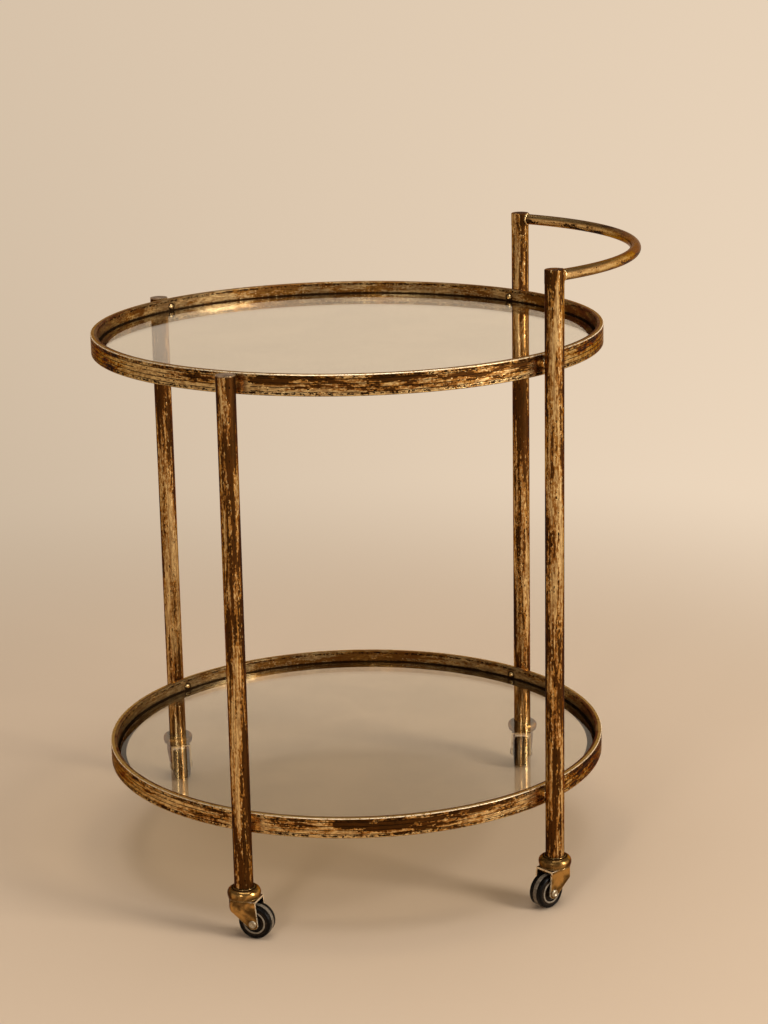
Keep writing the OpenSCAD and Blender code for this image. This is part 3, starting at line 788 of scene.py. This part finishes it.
def make_nickel():
    """Axle heads, stems and balls: worn nickel."""
    material, shader, place = new_material("worn nickel")
    wear = use_group(EDGE_WEAR, Place=place, Radius=0.4 * MM, Raggedness=0.5)["Mask"]
    marks = use_group(SMUDGES, Place=place, Scale=400.0)
    colour = mixed(marks["Clouds"], srgb(208, 194, 168), srgb(136, 120, 96))
    feed(shader, {
        "Base Color": mixed(wear * 0.6, colour, srgb(240, 236, 226)),
        "Metallic": 1.0,
        "Roughness": ramp(marks["Clouds"], 0.0, 1.0, 0.3, 0.5),
    })
    bump(shader, marks["Scratches"] + marks["Clouds"], 0.15, 0.1 * MM)
    return material


def make_rubber(name, colour, dust, rough, scale, shine=0.2):
    """Moulded rubber or plastic: fine grain, dust on it and lighter rubbed edges."""
    material, shader, place = new_material(name)
    marks = use_group(SMUDGES, Place=place, Scale=scale)
    wear = use_group(EDGE_WEAR, Place=place, Radius=0.6 * MM, Raggedness=0.8)["Mask"]
    dusty = maths("ADD", marks["Clouds"] * 0.55, wear * 0.35, clamp=True)
    feed(shader, {
        "Base Color": mixed(dusty, colour, dust),
        "Roughness": ramp(marks["Clouds"], 0.0, 1.0, rough, rough + 0.15),
        "Specular IOR Level": shine,
    })
    bump(shader, noise(place, 2400.0, 2.0, 0.6) + marks["Scratches"], 0.2, 0.08 * MM)
    return material


def make_glass():
    """Clear shelf glass, with faint smudges, that lets light from lamps through."""
    material, shader, place = new_material("shelf glass")
    clouds = use_group(SMUDGES, Place=place, Scale=9.0)["Clouds"]
    feed(shader, {
        "Base Color": mixed(clouds, srgb(236, 232, 222), srgb(229, 226, 217)),
        "Roughness": ramp(clouds, 0.2, 1.0, 0.0, 0.025),
        "Metallic": 0.0,
        "IOR": 1.5,
        "Transmission Weight": 1.0,
    })
    tree = material.node_tree
    clear = put(tree, "ShaderNodeBsdfTransparent", {"Color": srgb(232, 228, 218)})["BSDF"]
    blend_surface(shader, put(tree, "ShaderNodeLightPath")["Is Shadow Ray"], clear)
    return material


post_brass = make_post_brass()
ring_brass = make_ring_brass()
handle_brass = make_handle_brass()
castor_brass = make_castor_brass()
rubbed_and_lit_edge = make_rubbed_and_lit_edge()
dark_brass = make_dark_brass()
spacer_brass = make_fixing_brass("spacer brass", srgb(236, 206, 156), 0.2)
screw_brass = make_fixing_brass("screw brass", srgb(222, 188, 138), 0.25)
cap_brass = make_cap_brass()
nickel = make_nickel()
tyre_rubber = make_rubber("black tyre", srgb(5, 3, 2), srgb(15, 10, 7), 0.24, 400.0, 0.12)
tread_rubber = make_rubber("grey tread", srgb(92, 81, 68), srgb(160, 144, 122), 0.40, 400.0)
core_plastic = make_rubber("wheel plastic", srgb(18, 11, 6), srgb(56, 40, 26), 0.28, 300.0, 0.14)
ring_plastic = make_rubber("hub ring", srgb(116, 104, 88), srgb(176, 162, 140), 0.28, 300.0)
shelf_glass = make_glass()


# ---------------------------------------------------------------- posts and caps
def make_posts():
    for corner in CORNERS:
        low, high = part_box("post_" + corner)
        tube = new_piece(
            "tube_" + corner, bpy.ops.mesh.primitive_cylinder_add, vertices=64, radius=post_r,
            depth=high.z - low.z, end_fill_type="NOTHING",
            location=(post_at[corner].x, post_at[corner].y, (high.z + low.z) / 2),
        )
        use_modifier(tube, "SOLIDIFY", thickness=POST_WALL, offset=-1.0, use_even_offset=True)
        soften(tube, 0.3 * MM, 2)
        finish_piece(tube, post_brass, "frame", "aged_brass", "post_" + corner)


def make_flat_caps():
    """Disc on each short tube, with its plug below and a low bevel round its top."""
    lip, rim, bevel = 1.5 * MM, 0.1 * MM, 1.3 * MM
    for corner in SHORT:
        low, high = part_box("cap_" + corner)
        seat = high.z - lip
        disc = turned("flat_cap_" + corner, [
            (0, low.z), (plug_r, low.z), (plug_r, seat), (post_r, seat), (post_r, high.z - rim),
            (post_r - bevel, high.z), (0, high.z),
        ], 64, closed=False)
        soften(disc, 0.35 * MM, 3, 20)
        disc.data.transform(Matrix.Translation(post_at[corner]))
        finish_piece(disc, cap_brass, "frame", "flat_cap", "cap_" + corner)


def make_handle_sleeves():
    """Closed sleeve on each tall tube, a little wider than the tube, with its plug below."""
    r = post_r + SLEEVE_LIP
    bevel, crown = 0.8 * MM, 0.1 * MM
    for corner, side in zip(TALL, ("front", "back")):
        low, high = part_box("handle_cap_" + side)
        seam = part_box("post_" + corner)[1].z
        sleeve = turned("sleeve_" + side, [
            (0, low.z), (plug_r, low.z), (plug_r, seam), (r, seam), (r, high.z - bevel),
            (r - bevel, high.z - crown), (0, high.z),
        ], 64, closed=False)
        soften(sleeve, 0.3 * MM, 2, 25)
        sleeve.data.transform(Matrix.Translation(post_at[corner]))
        finish_piece(sleeve, post_brass, "frame", "aged_brass", "handle_cap_" + side)


def make_weld(side):
    """Lumpy weld bead where the rod meets a sleeve. side is 1 at the back, -1 at the front."""
    bead_r, bead_stretch, clear = 0.9 * MM, 1.4, 0.4 * MM
    bead = new_piece(
        "bead", bpy.ops.mesh.primitive_torus_add, major_segments=72, minor_segments=20,
        major_radius=rod_r, minor_radius=bead_r, rotation=(math.pi / 2, 0, 0),
    )
    for size, height in ((2.6 * MM, 0.7 * MM), (0.9 * MM, 0.3 * MM)):
        lumps = bpy.data.textures.new("weld lumps", "CLOUDS")
        lumps.noise_scale = size
        use_modifier(bead, "DISPLACE", texture=lumps, strength=height, mid_level=0.5)
    open_for_edit(bead)
    bpy.ops.mesh.select_all(action="SELECT")
    bpy.ops.transform.resize(value=(1, bead_stretch, 1), center_override=(0, 0, 0))
    close_edit()
    angle = side * (bow_half - (post_r + SLEEVE_LIP + clear) / bow_r)
    place = Matrix.Translation((bow_middle.x, bow_middle.y, rod_z)) @ Matrix.Rotation(angle, 4, "Z")
    bead.data.transform(place @ Matrix.Translation((bow_r, 0, 0)))
    give_materials(bead, spacer_brass)
    return bead


def make_handle():
    """Round rod bent to one arc through the two posts, with a weld bead at each end."""
    rod = new_piece(
        "rod", bpy.ops.mesh.primitive_circle_add, vertices=48, radius=rod_r, fill_type="NGON",
        location=(bow_r, 0, 0), rotation=(math.pi / 2, 0, 0),
    )
    rod.data.transform(Matrix.Rotation(-bow_half, 4, "Z"))
    open_for_edit(rod)
    bpy.ops.mesh.select_all(action="SELECT")
    bpy.ops.mesh.spin(steps=128, angle=-2 * bow_half, center=(0, 0, 0), axis=(0, 0, 1))
    bpy.ops.mesh.select_all(action="SELECT")
    bpy.ops.mesh.normals_make_consistent(inside=False)
    close_edit()
    rod.data.transform(Matrix.Translation((bow_middle.x, bow_middle.y, rod_z)))
    give_materials(rod, handle_brass)
    handle = joined([rod, make_weld(-1), make_weld(1)], "push_handle")
    finish_piece(handle, handle_brass, "frame", "aged_brass", "handle_bow", smooth=60)


# ---------------------------------------------------------------- rings and glass
def ring_profile(pitch):
    """Section of the band and its ledge, with the edges of the grooves on the outside."""
    inner = ring_r - RING_T
    outside = [(ring_r, RING_EDGE)]
    for i in range(1, GROOVES + 1):
        outside += [(ring_r, i * pitch - GROOVE_W / 2), (ring_r, i * pitch + GROOVE_W / 2)]
    outside.append((ring_r, ring_h - RING_EDGE))
    return [
        (inner - LEDGE_W, 0), (ring_r - RING_EDGE, 0), *outside,
        (ring_r - RING_EDGE, ring_h), (inner + RING_EDGE, ring_h), (inner, ring_h - RING_EDGE),
        (inner, LEDGE_T), (inner - LEDGE_W, LEDGE_T),
    ]


def near_post(at):
    """True on the plain patch beside a post."""
    angle = math.atan2(at.y, at.x)
    return any(abs(math.remainder(angle - post_angle[c], TURN)) < PATCH_HALF for c in CORNERS)


def make_ring():
    """Ring at floor level round the origin, with its grooves between the posts."""
    pitch = ring_h / (GROOVES + 1)
    band = turned("ring pattern", ring_profile(pitch), 360)

    def in_groove(at, normal):
        row = round(at.z / pitch)
        level = 1 <= row <= GROOVES and abs(at.z - row * pitch) < GROOVE_W / 4
        return level and math.hypot(at.x, at.y) > ring_r - GROOVE_DEEP and not near_post(at)

    def on_top_edge(at, normal):
        outer = math.hypot(at.x, at.y) > ring_r - 1.5 * RING_EDGE
        return outer and at.z > ring_h - 1.3 * RING_EDGE and 0.3 < normal.z < 0.95

    open_for_edit(band)
    pick_faces(band, in_groove)
    bpy.ops.mesh.extrude_region_shrink_fatten(TRANSFORM_OT_shrink_fatten={"value": -GROOVE_DEEP})
    close_edit()
    soften(band, 0.22 * MM, 2, 30)
    give_materials(band, ring_brass, rubbed_and_lit_edge)
    # The outer top edge gets the rubbed edge material, which is also a painted highlight
    paint_faces(band, 1, on_top_edge)
    return band


def make_rings():
    pattern = make_ring()
    for tier in TIERS:
        place = Matrix.Translation((middle.x, middle.y, ring_top[tier] - ring_h))
        band = copy_to(pattern, tier + "_band", place)
        finish_piece(band, ring_brass, "frame", "aged_brass", tier + "_ring")
    bpy.data.objects.remove(pattern)


def make_glasses():
    for tier in TIERS:
        low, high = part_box(tier + "_glass")
        sheet = new_piece(
            tier + "_shelf_glass", bpy.ops.mesh.primitive_cylinder_add, vertices=256, radius=glass_r,
            depth=high.z - low.z, end_fill_type="NGON", location=(middle.x, middle.y, (low.z + high.z) / 2),
        )
        soften(sheet, 1.0 * MM, 3, 40)
        open_for_edit(sheet)
        pick_faces(sheet, lambda at, normal: abs(normal.z) > 0.999)
        bpy.ops.mesh.inset(thickness=2.0 * MM)
        close_edit()
        finish_piece(sheet, shelf_glass, tier + "_shelf", "glass", tier + "_glass", smooth=50)


# ---------------------------------------------------------------- fixings
def set_all_round(pattern, out, label, material, slot, node):
    """Copies a fixing to the four posts of each tier, at a distance from the rings' axis."""
    for tier in TIERS:
        places = [at_fixing(c, tier) @ Matrix.Translation((0, 0, out)) for c in CORNERS]
        copies = [copy_to(pattern, "fixing", place) for place in places]
        finish_piece(joined(copies, tier + label), material, "frame", slot, tier + node)
    bpy.data.objects.remove(pattern)


def make_spacers():
    """Spacers between a ring and the tubes, with rounded rims, sunk into the tube's curve."""
    start = ring_r - PATCH_DEEP
    sunk = 0.9 * MM
    end = post_circle_r - post_r - start + sunk
    foot_in, foot_up, end_in, end_down = 0.2 * MM, 0.4 * MM, 0.3 * MM, 0.6 * MM
    spacer = turned("spacer pattern", [
        (0, 0), (SPACER_R - foot_in, 0), (SPACER_R, foot_up), (SPACER_R, end - end_down),
        (SPACER_R - end_in, end), (0, end),
    ], 48, closed=False)
    soften(spacer, 0.3 * MM, 3, 20)
    set_all_round(spacer, start, "_spacer_set", spacer_brass, "spacer_brass", "_spacers")


def make_screws():
    """Round-head screws with hexagon sockets, on the inside of the rings."""
    head_r, head_h, socket_r, socket_deep = 3.9 * MM, 2.4 * MM, 1.8 * MM, 1.2 * MM
    shank_r, shank = 2.5 * MM, 14 * MM
    ball = (head_r ** 2 + head_h ** 2) / (2 * head_h)
    span = math.degrees(math.asin(head_r / ball))
    crown = arc(0, -(head_h - ball), ball, 270, 270 + span, 10)
    profile = crown[:-1] + [(head_r, 0), (shank_r, 0), (shank_r, shank), (0, shank)]
    screw = turned("screw pattern", profile, 48, closed=False)
    key = new_piece(
        "key", bpy.ops.mesh.primitive_cylinder_add, vertices=6, radius=socket_r,
        depth=2 * socket_deep, location=(0, 0, -head_h),
    )
    use_modifier(screw, "BOOLEAN", object=key, operation="DIFFERENCE", solver="EXACT")
    bpy.data.objects.remove(key)
    soften(screw, 0.15 * MM, 2, 40)
    seat = math.sqrt((ring_r - RING_T) ** 2 - head_r ** 2)
    set_all_round(screw, seat, "_screw_set", screw_brass, "dark_screw", "_screws")


# ---------------------------------------------------------------- castors
def make_cup():
    """Domed cup with a recess round the tube and a side that draws in below the dome."""
    r, round_r, mouth_r, bore = 19.3 * MM, 6.1 * MM, 14.4 * MM, 4.2 * MM
    wall, floor_t, recess, lip_drop, fork_gap = 3.2 * MM, 1.6 * MM, 3.2 * MM, 0.8 * MM, 0.6 * MM
    draw_in, foot_in, foot_h = 1.9 * MM, 1.0 * MM, 0.5 * MM
    top = post_foot - lip_drop
    floor = post_foot - recess
    foot = FORK_TOP + fork_gap
    inside = r - wall
    cx, cz = r - round_r, top - round_r
    shoulder = arc(cx, cz, round_r, 96, 0, 14)
    side_h = cz - foot - 0.9 * MM
    bends = (0.25, 0.5, 0.75, 1.0, 1.25)
    side = [(r - draw_in * (1 - math.cos(t)), cz - side_h * math.sin(t)) for t in bends]
    cup = turned("cup pattern", [
        (bore, floor), (mouth_r - 0.5 * MM, floor), (mouth_r - 0.2 * MM, floor + 0.3 * MM),
        (shoulder[0][0] - 0.35 * MM, top - 0.5 * MM), *shoulder, *side,
        (r - foot_in, foot + foot_h), (r - foot_in, foot), (inside, foot), (inside, floor - floor_t),
        (bore, floor - floor_t),
    ], 96)
    give_materials(cup, castor_brass, dark_brass)
    soften(cup, 0.25 * MM, 2, 35)

    def in_recess(at, normal):
        out = math.hypot(at.x, at.y)
        below_floor = at.z < floor - 1.2 * MM and out < inside + 0.1 * MM
        return out < mouth_r + 0.1 * MM or below_floor

    # The recess round the tube gets the dark brass, as painted shade
    paint_faces(cup, 1, in_recess)
    return cup


def make_socket():
    """Flange that closes the foot of a tube, with its plug above and its neck below."""
    bore, neck_r, neck, flange_r, flange = 4.05 * MM, 8 * MM, 3.2 * MM, post_r + 1.5 * MM, 1.2 * MM
    plug = 24 * MM
    z = post_foot
    socket = turned("socket pattern", [
        (bore, z - neck), (neck_r, z - neck), (neck_r, z - flange), (flange_r, z - flange),
        (flange_r, z), (plug_r, z), (plug_r, z + plug), (bore, z + plug),
    ], 64)
    give_materials(socket, dark_brass, castor_brass)
    soften(socket, 0.35 * MM, 3, 35, worn=1)
    return socket


def make_fork():
    """Pressed fork: a plate with a round front, two legs cut back to the axle, in one sheet."""
    front_x = -math.sqrt(FORK_FRONT ** 2 - LEG_OUT ** 2)
    turn = math.degrees(math.atan2(LEG_OUT, front_x))
    low = WHEEL_R - LEG_END - MM
    left = [(FORK_TAIL, LEG_OUT), (FORK_TAIL / 2, LEG_OUT)]
    front = arc(0, 0, FORK_FRONT, turn, 360 - turn, 24)
    right = [(FORK_TAIL / 2, -LEG_OUT), (FORK_TAIL, -LEG_OUT)]
    fork = drawn_line("fork pattern", [(x, y, low) for x, y in left + front + right])
    bpy.ops.mesh.select_all(action="SELECT")
    bpy.ops.mesh.extrude_region_move(TRANSFORM_OT_translate={"value": (0, 0, FORK_TOP - low)})
    # The plate closes the top
    pick_edges(fork, lambda a, b: min(a.z, b.z) > FORK_TOP - MM)
    bpy.ops.mesh.edge_face_add()
    # The legs reach back to their round ends, past the plate's square end
    pick_verts(fork, lambda at: at.z < FORK_TOP - MM and at.x > FORK_TAIL - MM)
    bpy.ops.transform.translate(value=(LEG_REACH, 0, 0))
    # Cut back the front, then round the ends of the legs with cuts tangent to them
    knee = (-FORK_FRONT, FORK_TOP - FORK_T - SKIRT + 1.5 * MM)
    dx, dz = TRAIL - knee[0], knee[1] - WHEEL_R
    slant = math.degrees(-math.atan2(dz, dx) - math.asin(LEG_END / math.hypot(dx, dz)))
    cuts = 10
    for i in range(cuts + 1):
        a = math.radians(slant - 90 + (90 - slant) * i / cuts)
        direction = Vector((math.cos(a), 0, math.sin(a)))
        bpy.ops.mesh.select_all(action="SELECT")
        bpy.ops.mesh.bisect(
            plane_co=Vector((TRAIL, 0, WHEEL_R)) + direction * LEG_END, plane_no=direction,
            clear_outer=i < cuts, clear_inner=False,
        )
    close_surface()

    def on_bend(a, b):
        return min(a.z, b.z) > FORK_TOP - 0.1 * MM and min(a.x, b.x) <= FORK_TAIL - MM

    # Round the bend between the plate and the legs
    pick_edges(fork, on_bend)
    bpy.ops.mesh.bevel(offset=0.9 * MM, segments=4, affect="EDGES")
    close_edit()
    give_materials(fork, castor_brass, rubbed_and_lit_edge)
    use_modifier(
        fork, "SOLIDIFY", thickness=FORK_T, offset=-1.0, use_even_offset=True, material_offset_rim=1,
    )
    soften(fork, 0.45 * MM, 3, 50, worn=1)
    # The upward-facing part of the bend gets the rubbed edge material, also a painted highlight
    paint_faces(fork, 1, lambda at, normal: at.z > FORK_TOP - 1.2 * MM and 0.3 < normal.z < 0.95)
    return fork


def make_axle():
    """Riveted axle with a low, dimpled head at each end."""
    shaft_r = 3 * MM
    # Radius, and height over the leg, from the dimple to the foot of the head, in millimetres
    head = (
        (0, 1.3), (1.4, 1.35), (2.4, 1.6), (3.1, 2), (3.7, 1.8), (4.3, 1.3), (4.6, 0.7), (4.6, 0.2),
        (4.4, 0),
    )
    half = [(x * MM, LEG_OUT + z * MM) for x, z in head] + [(shaft_r, LEG_OUT)]
    axle = turned("axle pattern", half + mirrored(half), 48, closed=False)
    soften(axle, 0.15 * MM, 2, 40)
    return axle


def make_wheel_core():
    """Hub, dished web and rim."""
    bore, hub_r, hub_y, web_y, rim_y = 3.05 * MM, 6.2 * MM, 10.7 * MM, 6 * MM, 8.6 * MM
    ring_in = 11.4 * MM
    half = [
        (bore, hub_y), (hub_r - 0.6 * MM, hub_y), (hub_r, hub_y - 0.6 * MM),
        (hub_r + 0.5 * MM, web_y + 0.5 * MM), (hub_r + 1.2 * MM, web_y), (ring_in - 0.8 * MM, web_y),
        (ring_in, web_y + 0.6 * MM), (ring_in, rim_y), (RIM_R, rim_y),
    ]
    core = turned("core pattern", half + mirrored(half), 96)
    soften(core, 0.3 * MM, 2, 35)
    return core


def make_tread():
    """Grey band between the tyres, with rounded shoulders."""
    edge, crown = 0.5 * MM, 0.12 * MM
    tread = turned("tread pattern", [
        (RIM_R, -BAND_HALF), (WHEEL_R - edge, -BAND_HALF), (WHEEL_R - crown, -BAND_HALF + edge),
        (WHEEL_R, 0),
        (WHEEL_R - crown, BAND_HALF - edge), (WHEEL_R - edge, BAND_HALF), (RIM_R, BAND_HALF),
    ], 120)
    soften(tread, 0.2 * MM, 2, 35)
    return tread


def make_tyres():
    """Two tyres with round shoulders and a moulding line on the side."""
    r, edge, line = 2.2 * MM, 0.3 * MM, 0.2 * MM
    tyre = turned("tyre pattern", [
        (RIM_R, BAND_HALF), (TYRE_R - edge, BAND_HALF), (TYRE_R, BAND_HALF + edge),
        *arc(TYRE_R - r, SIDE_Y - r, r, 0, 90, 10), (RIM_R + 0.7 * MM, SIDE_Y),
        (RIM_R + 0.6 * MM, SIDE_Y - line), (RIM_R, SIDE_Y - line),
    ], 120)
    soften(tyre, 0.1 * MM, 2, 50)
    return on_both_sides(tyre, "tyres pattern")


def make_hub_rings():
    """Pale ring on each side of a wheel, with rounded edges."""
    out_r, in_r, low, high = 13.4 * MM, 11.4 * MM, 8.6 * MM, 9.4 * MM
    edge_in, edge_down = 0.4 * MM, 0.3 * MM
    ring = turned("hub ring pattern", [
        (in_r, low), (out_r, low), (out_r, high - edge_down), (out_r - edge_in, high),
        (in_r + edge_in, high), (in_r, high - edge_down),
    ], 96)
    soften(ring, 0.15 * MM, 2, 30)
    return on_both_sides(ring, "hub rings pattern")


def make_castors():
    """Each piece is modelled once and copied to the four castors."""
    # Name, piece, place, body, material, slot and CAD node. Names end with the corner.
    core = make_wheel_core()
    jobs = (
        ("cup_", make_cup(), at_castor, "frame", castor_brass, "castor_brass", "castor_cup_"),
        ("socket_flange_", make_socket(), at_castor, "frame", dark_brass, "socket_brass", "socket_"),
        ("fork_", make_fork(), at_castor, "castor_", castor_brass, "castor_brass", "castor_fork_"),
        ("axle_pin_", make_axle(), on_axle, "castor_", nickel, "bright_steel", "axle_"),
        ("wheel_core_part_", core, on_axle, "wheel_", core_plastic, "wheel_plastic", "wheel_core_"),
        ("tread_", make_tread(), on_axle, "wheel_", tread_rubber, "grey_tread", "tread_band_"),
        ("tyre_pair_", make_tyres(), on_axle, "wheel_", tyre_rubber, "black_tyre", "tyres_"),
        ("hub_ring_pair_", make_hub_rings(), on_axle, "wheel_", ring_plastic, "hub_ring", "hub_rings_"),
    )
    for name, pattern, place, body, material, slot, node in jobs:
        for corner in CORNERS:
            piece = copy_to(pattern, name + corner, place(corner))
            rides = body if body == "frame" else body + corner
            finish_piece(piece, material, rides, slot, node + corner)
        bpy.data.objects.remove(pattern)


def dress_hidden_nodes():
    """Stems, balls and inserts keep their CAD shape and get worn nickel."""
    hidden = [kind + corner for kind in ("castor_stem_", "castor_balls_") for corner in CORNERS]
    for name in hidden + ["upper_inserts", "lower_inserts"]:
        node = frame["nodes"][name]
        node.data.materials.clear()
        node.data.materials.append(nickel)


make_posts()
make_flat_caps()
make_handle_sleeves()
make_handle()
make_rings()
make_glasses()
make_spacers()
make_screws()
make_castors()
dress_hidden_nodes()

# ---------------------------------------------------------------- studio
FLOOR_TONE = srgb(217, 190, 161)
FLOOR_MOTTLE = srgb(213, 186, 157)
FAR_LIGHT = srgb(240, 218, 192)
FAR_SHADE = srgb(194, 174, 150)
OVERHEAD = srgb(112, 102, 90)
LOW_LIGHT = srgb(116, 113, 110)


def far_tone(direction):
    """Pale backdrop all round, lighter on the key lamp's side."""
    level = vector_maths("MULTIPLY", direction, (1, 1, 0))[0]
    side = parts_of(vector_maths("NORMALIZE", level)[0])[0]
    return mixed(ramp(side, -0.85, 0.7), FAR_SHADE, FAR_LIGHT)


def seen_directly(tree):
    """1 for what the camera sees straight, mirrored or through glass."""
    path = put(tree, "ShaderNodeLightPath")
    return larger(path["Is Camera Ray"], path["Is Glossy Ray"], path["Is Transmission Ray"])


def make_floor():
    """Plain pale floor that turns into the pale backdrop far from the object, on all sides."""
    floor = new_piece(
        "floor", bpy.ops.mesh.primitive_circle_add, vertices=96, radius=60, fill_type="NGON",
        location=(0, 0, 0),
    )
    material, shader, place = new_material("pale floor")
    feed(shader, {
        "Base Color": mixed(noise(place, 1.3, 2.0, 0.5), FLOOR_TONE, FLOOR_MOTTLE),
        "Roughness": 0.7,
        "Specular IOR Level": 0.15,
    })
    tree = material.node_tree
    far = ramp(length(place), 0.6, 1.9) * seen_directly(tree)
    glow = put(tree, "ShaderNodeEmission", {"Color": far_tone(place), "Strength": 1.0})["Emission"]
    blend_surface(shader, far, glow)
    give_materials(floor, material)


def leave_out_shelves():
    """Collection that keeps the glass shelves out of a lamp's light, so it leaves no glare."""
    left_out = bpy.data.collections.new("shelves left out of the lamps")
    for tier in TIERS:
        left_out.objects.link(bpy.data.objects[tier + "_shelf_glass"])
    for item in left_out.collection_objects:
        item.light_linking.link_state = "EXCLUDE"
    return left_out


def area_light(name, at, look_at, width, height, watts, colour, left_out):
    bpy.ops.object.select_all(action="DESELECT")
    bpy.ops.object.light_add(type="AREA", location=at)
    lamp = bpy.context.active_object
    lamp.name = name
    lamp.data.shape = "RECTANGLE"
    lamp.data.size = width
    lamp.data.size_y = height
    lamp.data.energy = watts
    lamp.data.color = colour
    lamp.rotation_euler = (Vector(look_at) - Vector(at)).to_track_quat("-Z", "Y").to_euler()
    lamp.light_linking.receiver_collection = left_out


def make_lights():
    """Tall key lamp at the right, soft lamps in front and overhead, and a low light all round."""
    left_out = leave_out_shelves()
    warm = (1.0, 0.99, 0.97)
    area_light("key", (3.4, -1.9, 1.75), (0, 0, 0.4), 1.15, 2.7, 125, (1.0, 0.985, 0.95), left_out)
    area_light("front", (-1.4, -3.4, 1.9), (0, 0, 0.45), 0.6, 1.4, 26, warm, left_out)
    area_light("top", (0.1, 0.1, 4.2), (0, 0.1, 0), 3.2, 2.8, 100, warm, left_out)
    world = bpy.data.worlds.new("surround")
    bpy.context.scene.world = world
    world.use_nodes = True
    tree = world.node_tree
    # Pale up to well above the horizon and dimmer overhead
    direction = put(tree, "ShaderNodeTexCoord")["Generated"]
    seen = mixed(ramp(parts_of(direction)[2], 0.2, 0.6), far_tone(direction), OVERHEAD)
    feed(tree.nodes["Background"], {"Color": mixed(seen_directly(tree), LOW_LIGHT, seen)})


def make_camera():
    """Camera that shows the trolley as the photograph does, from a little above it."""
    place = (-0.04898, -2.82518, 1.17358)
    azimuth, pitch, roll = (math.radians(a) for a in (-1.35, 14.93, -1.13))
    focal_pixels, image_height, sensor = 2400, 1024, 36
    level = Vector((math.cos(azimuth), math.sin(azimuth), 0))
    ahead = Vector((-math.sin(azimuth), math.cos(azimuth), 0))
    forward = ahead * math.cos(pitch) - Vector((0, 0, math.sin(pitch)))
    above = level.cross(forward)
    right = level * math.cos(roll) + above * math.sin(roll)
    up = above * math.cos(roll) - level * math.sin(roll)
    bpy.ops.object.camera_add()
    camera = bpy.context.active_object
    camera.name = "camera"
    turn = Matrix((right, up, -forward)).transposed().to_4x4()
    camera.matrix_world = Matrix.Translation(place) @ turn
    camera.data.sensor_width = sensor
    camera.data.lens = focal_pixels / image_height * sensor
    camera.data.clip_end = 50
    bpy.context.scene.camera = camera


make_floor()
make_lights()
make_camera()
bpy.context.scene.view_settings.view_transform = "Standard"
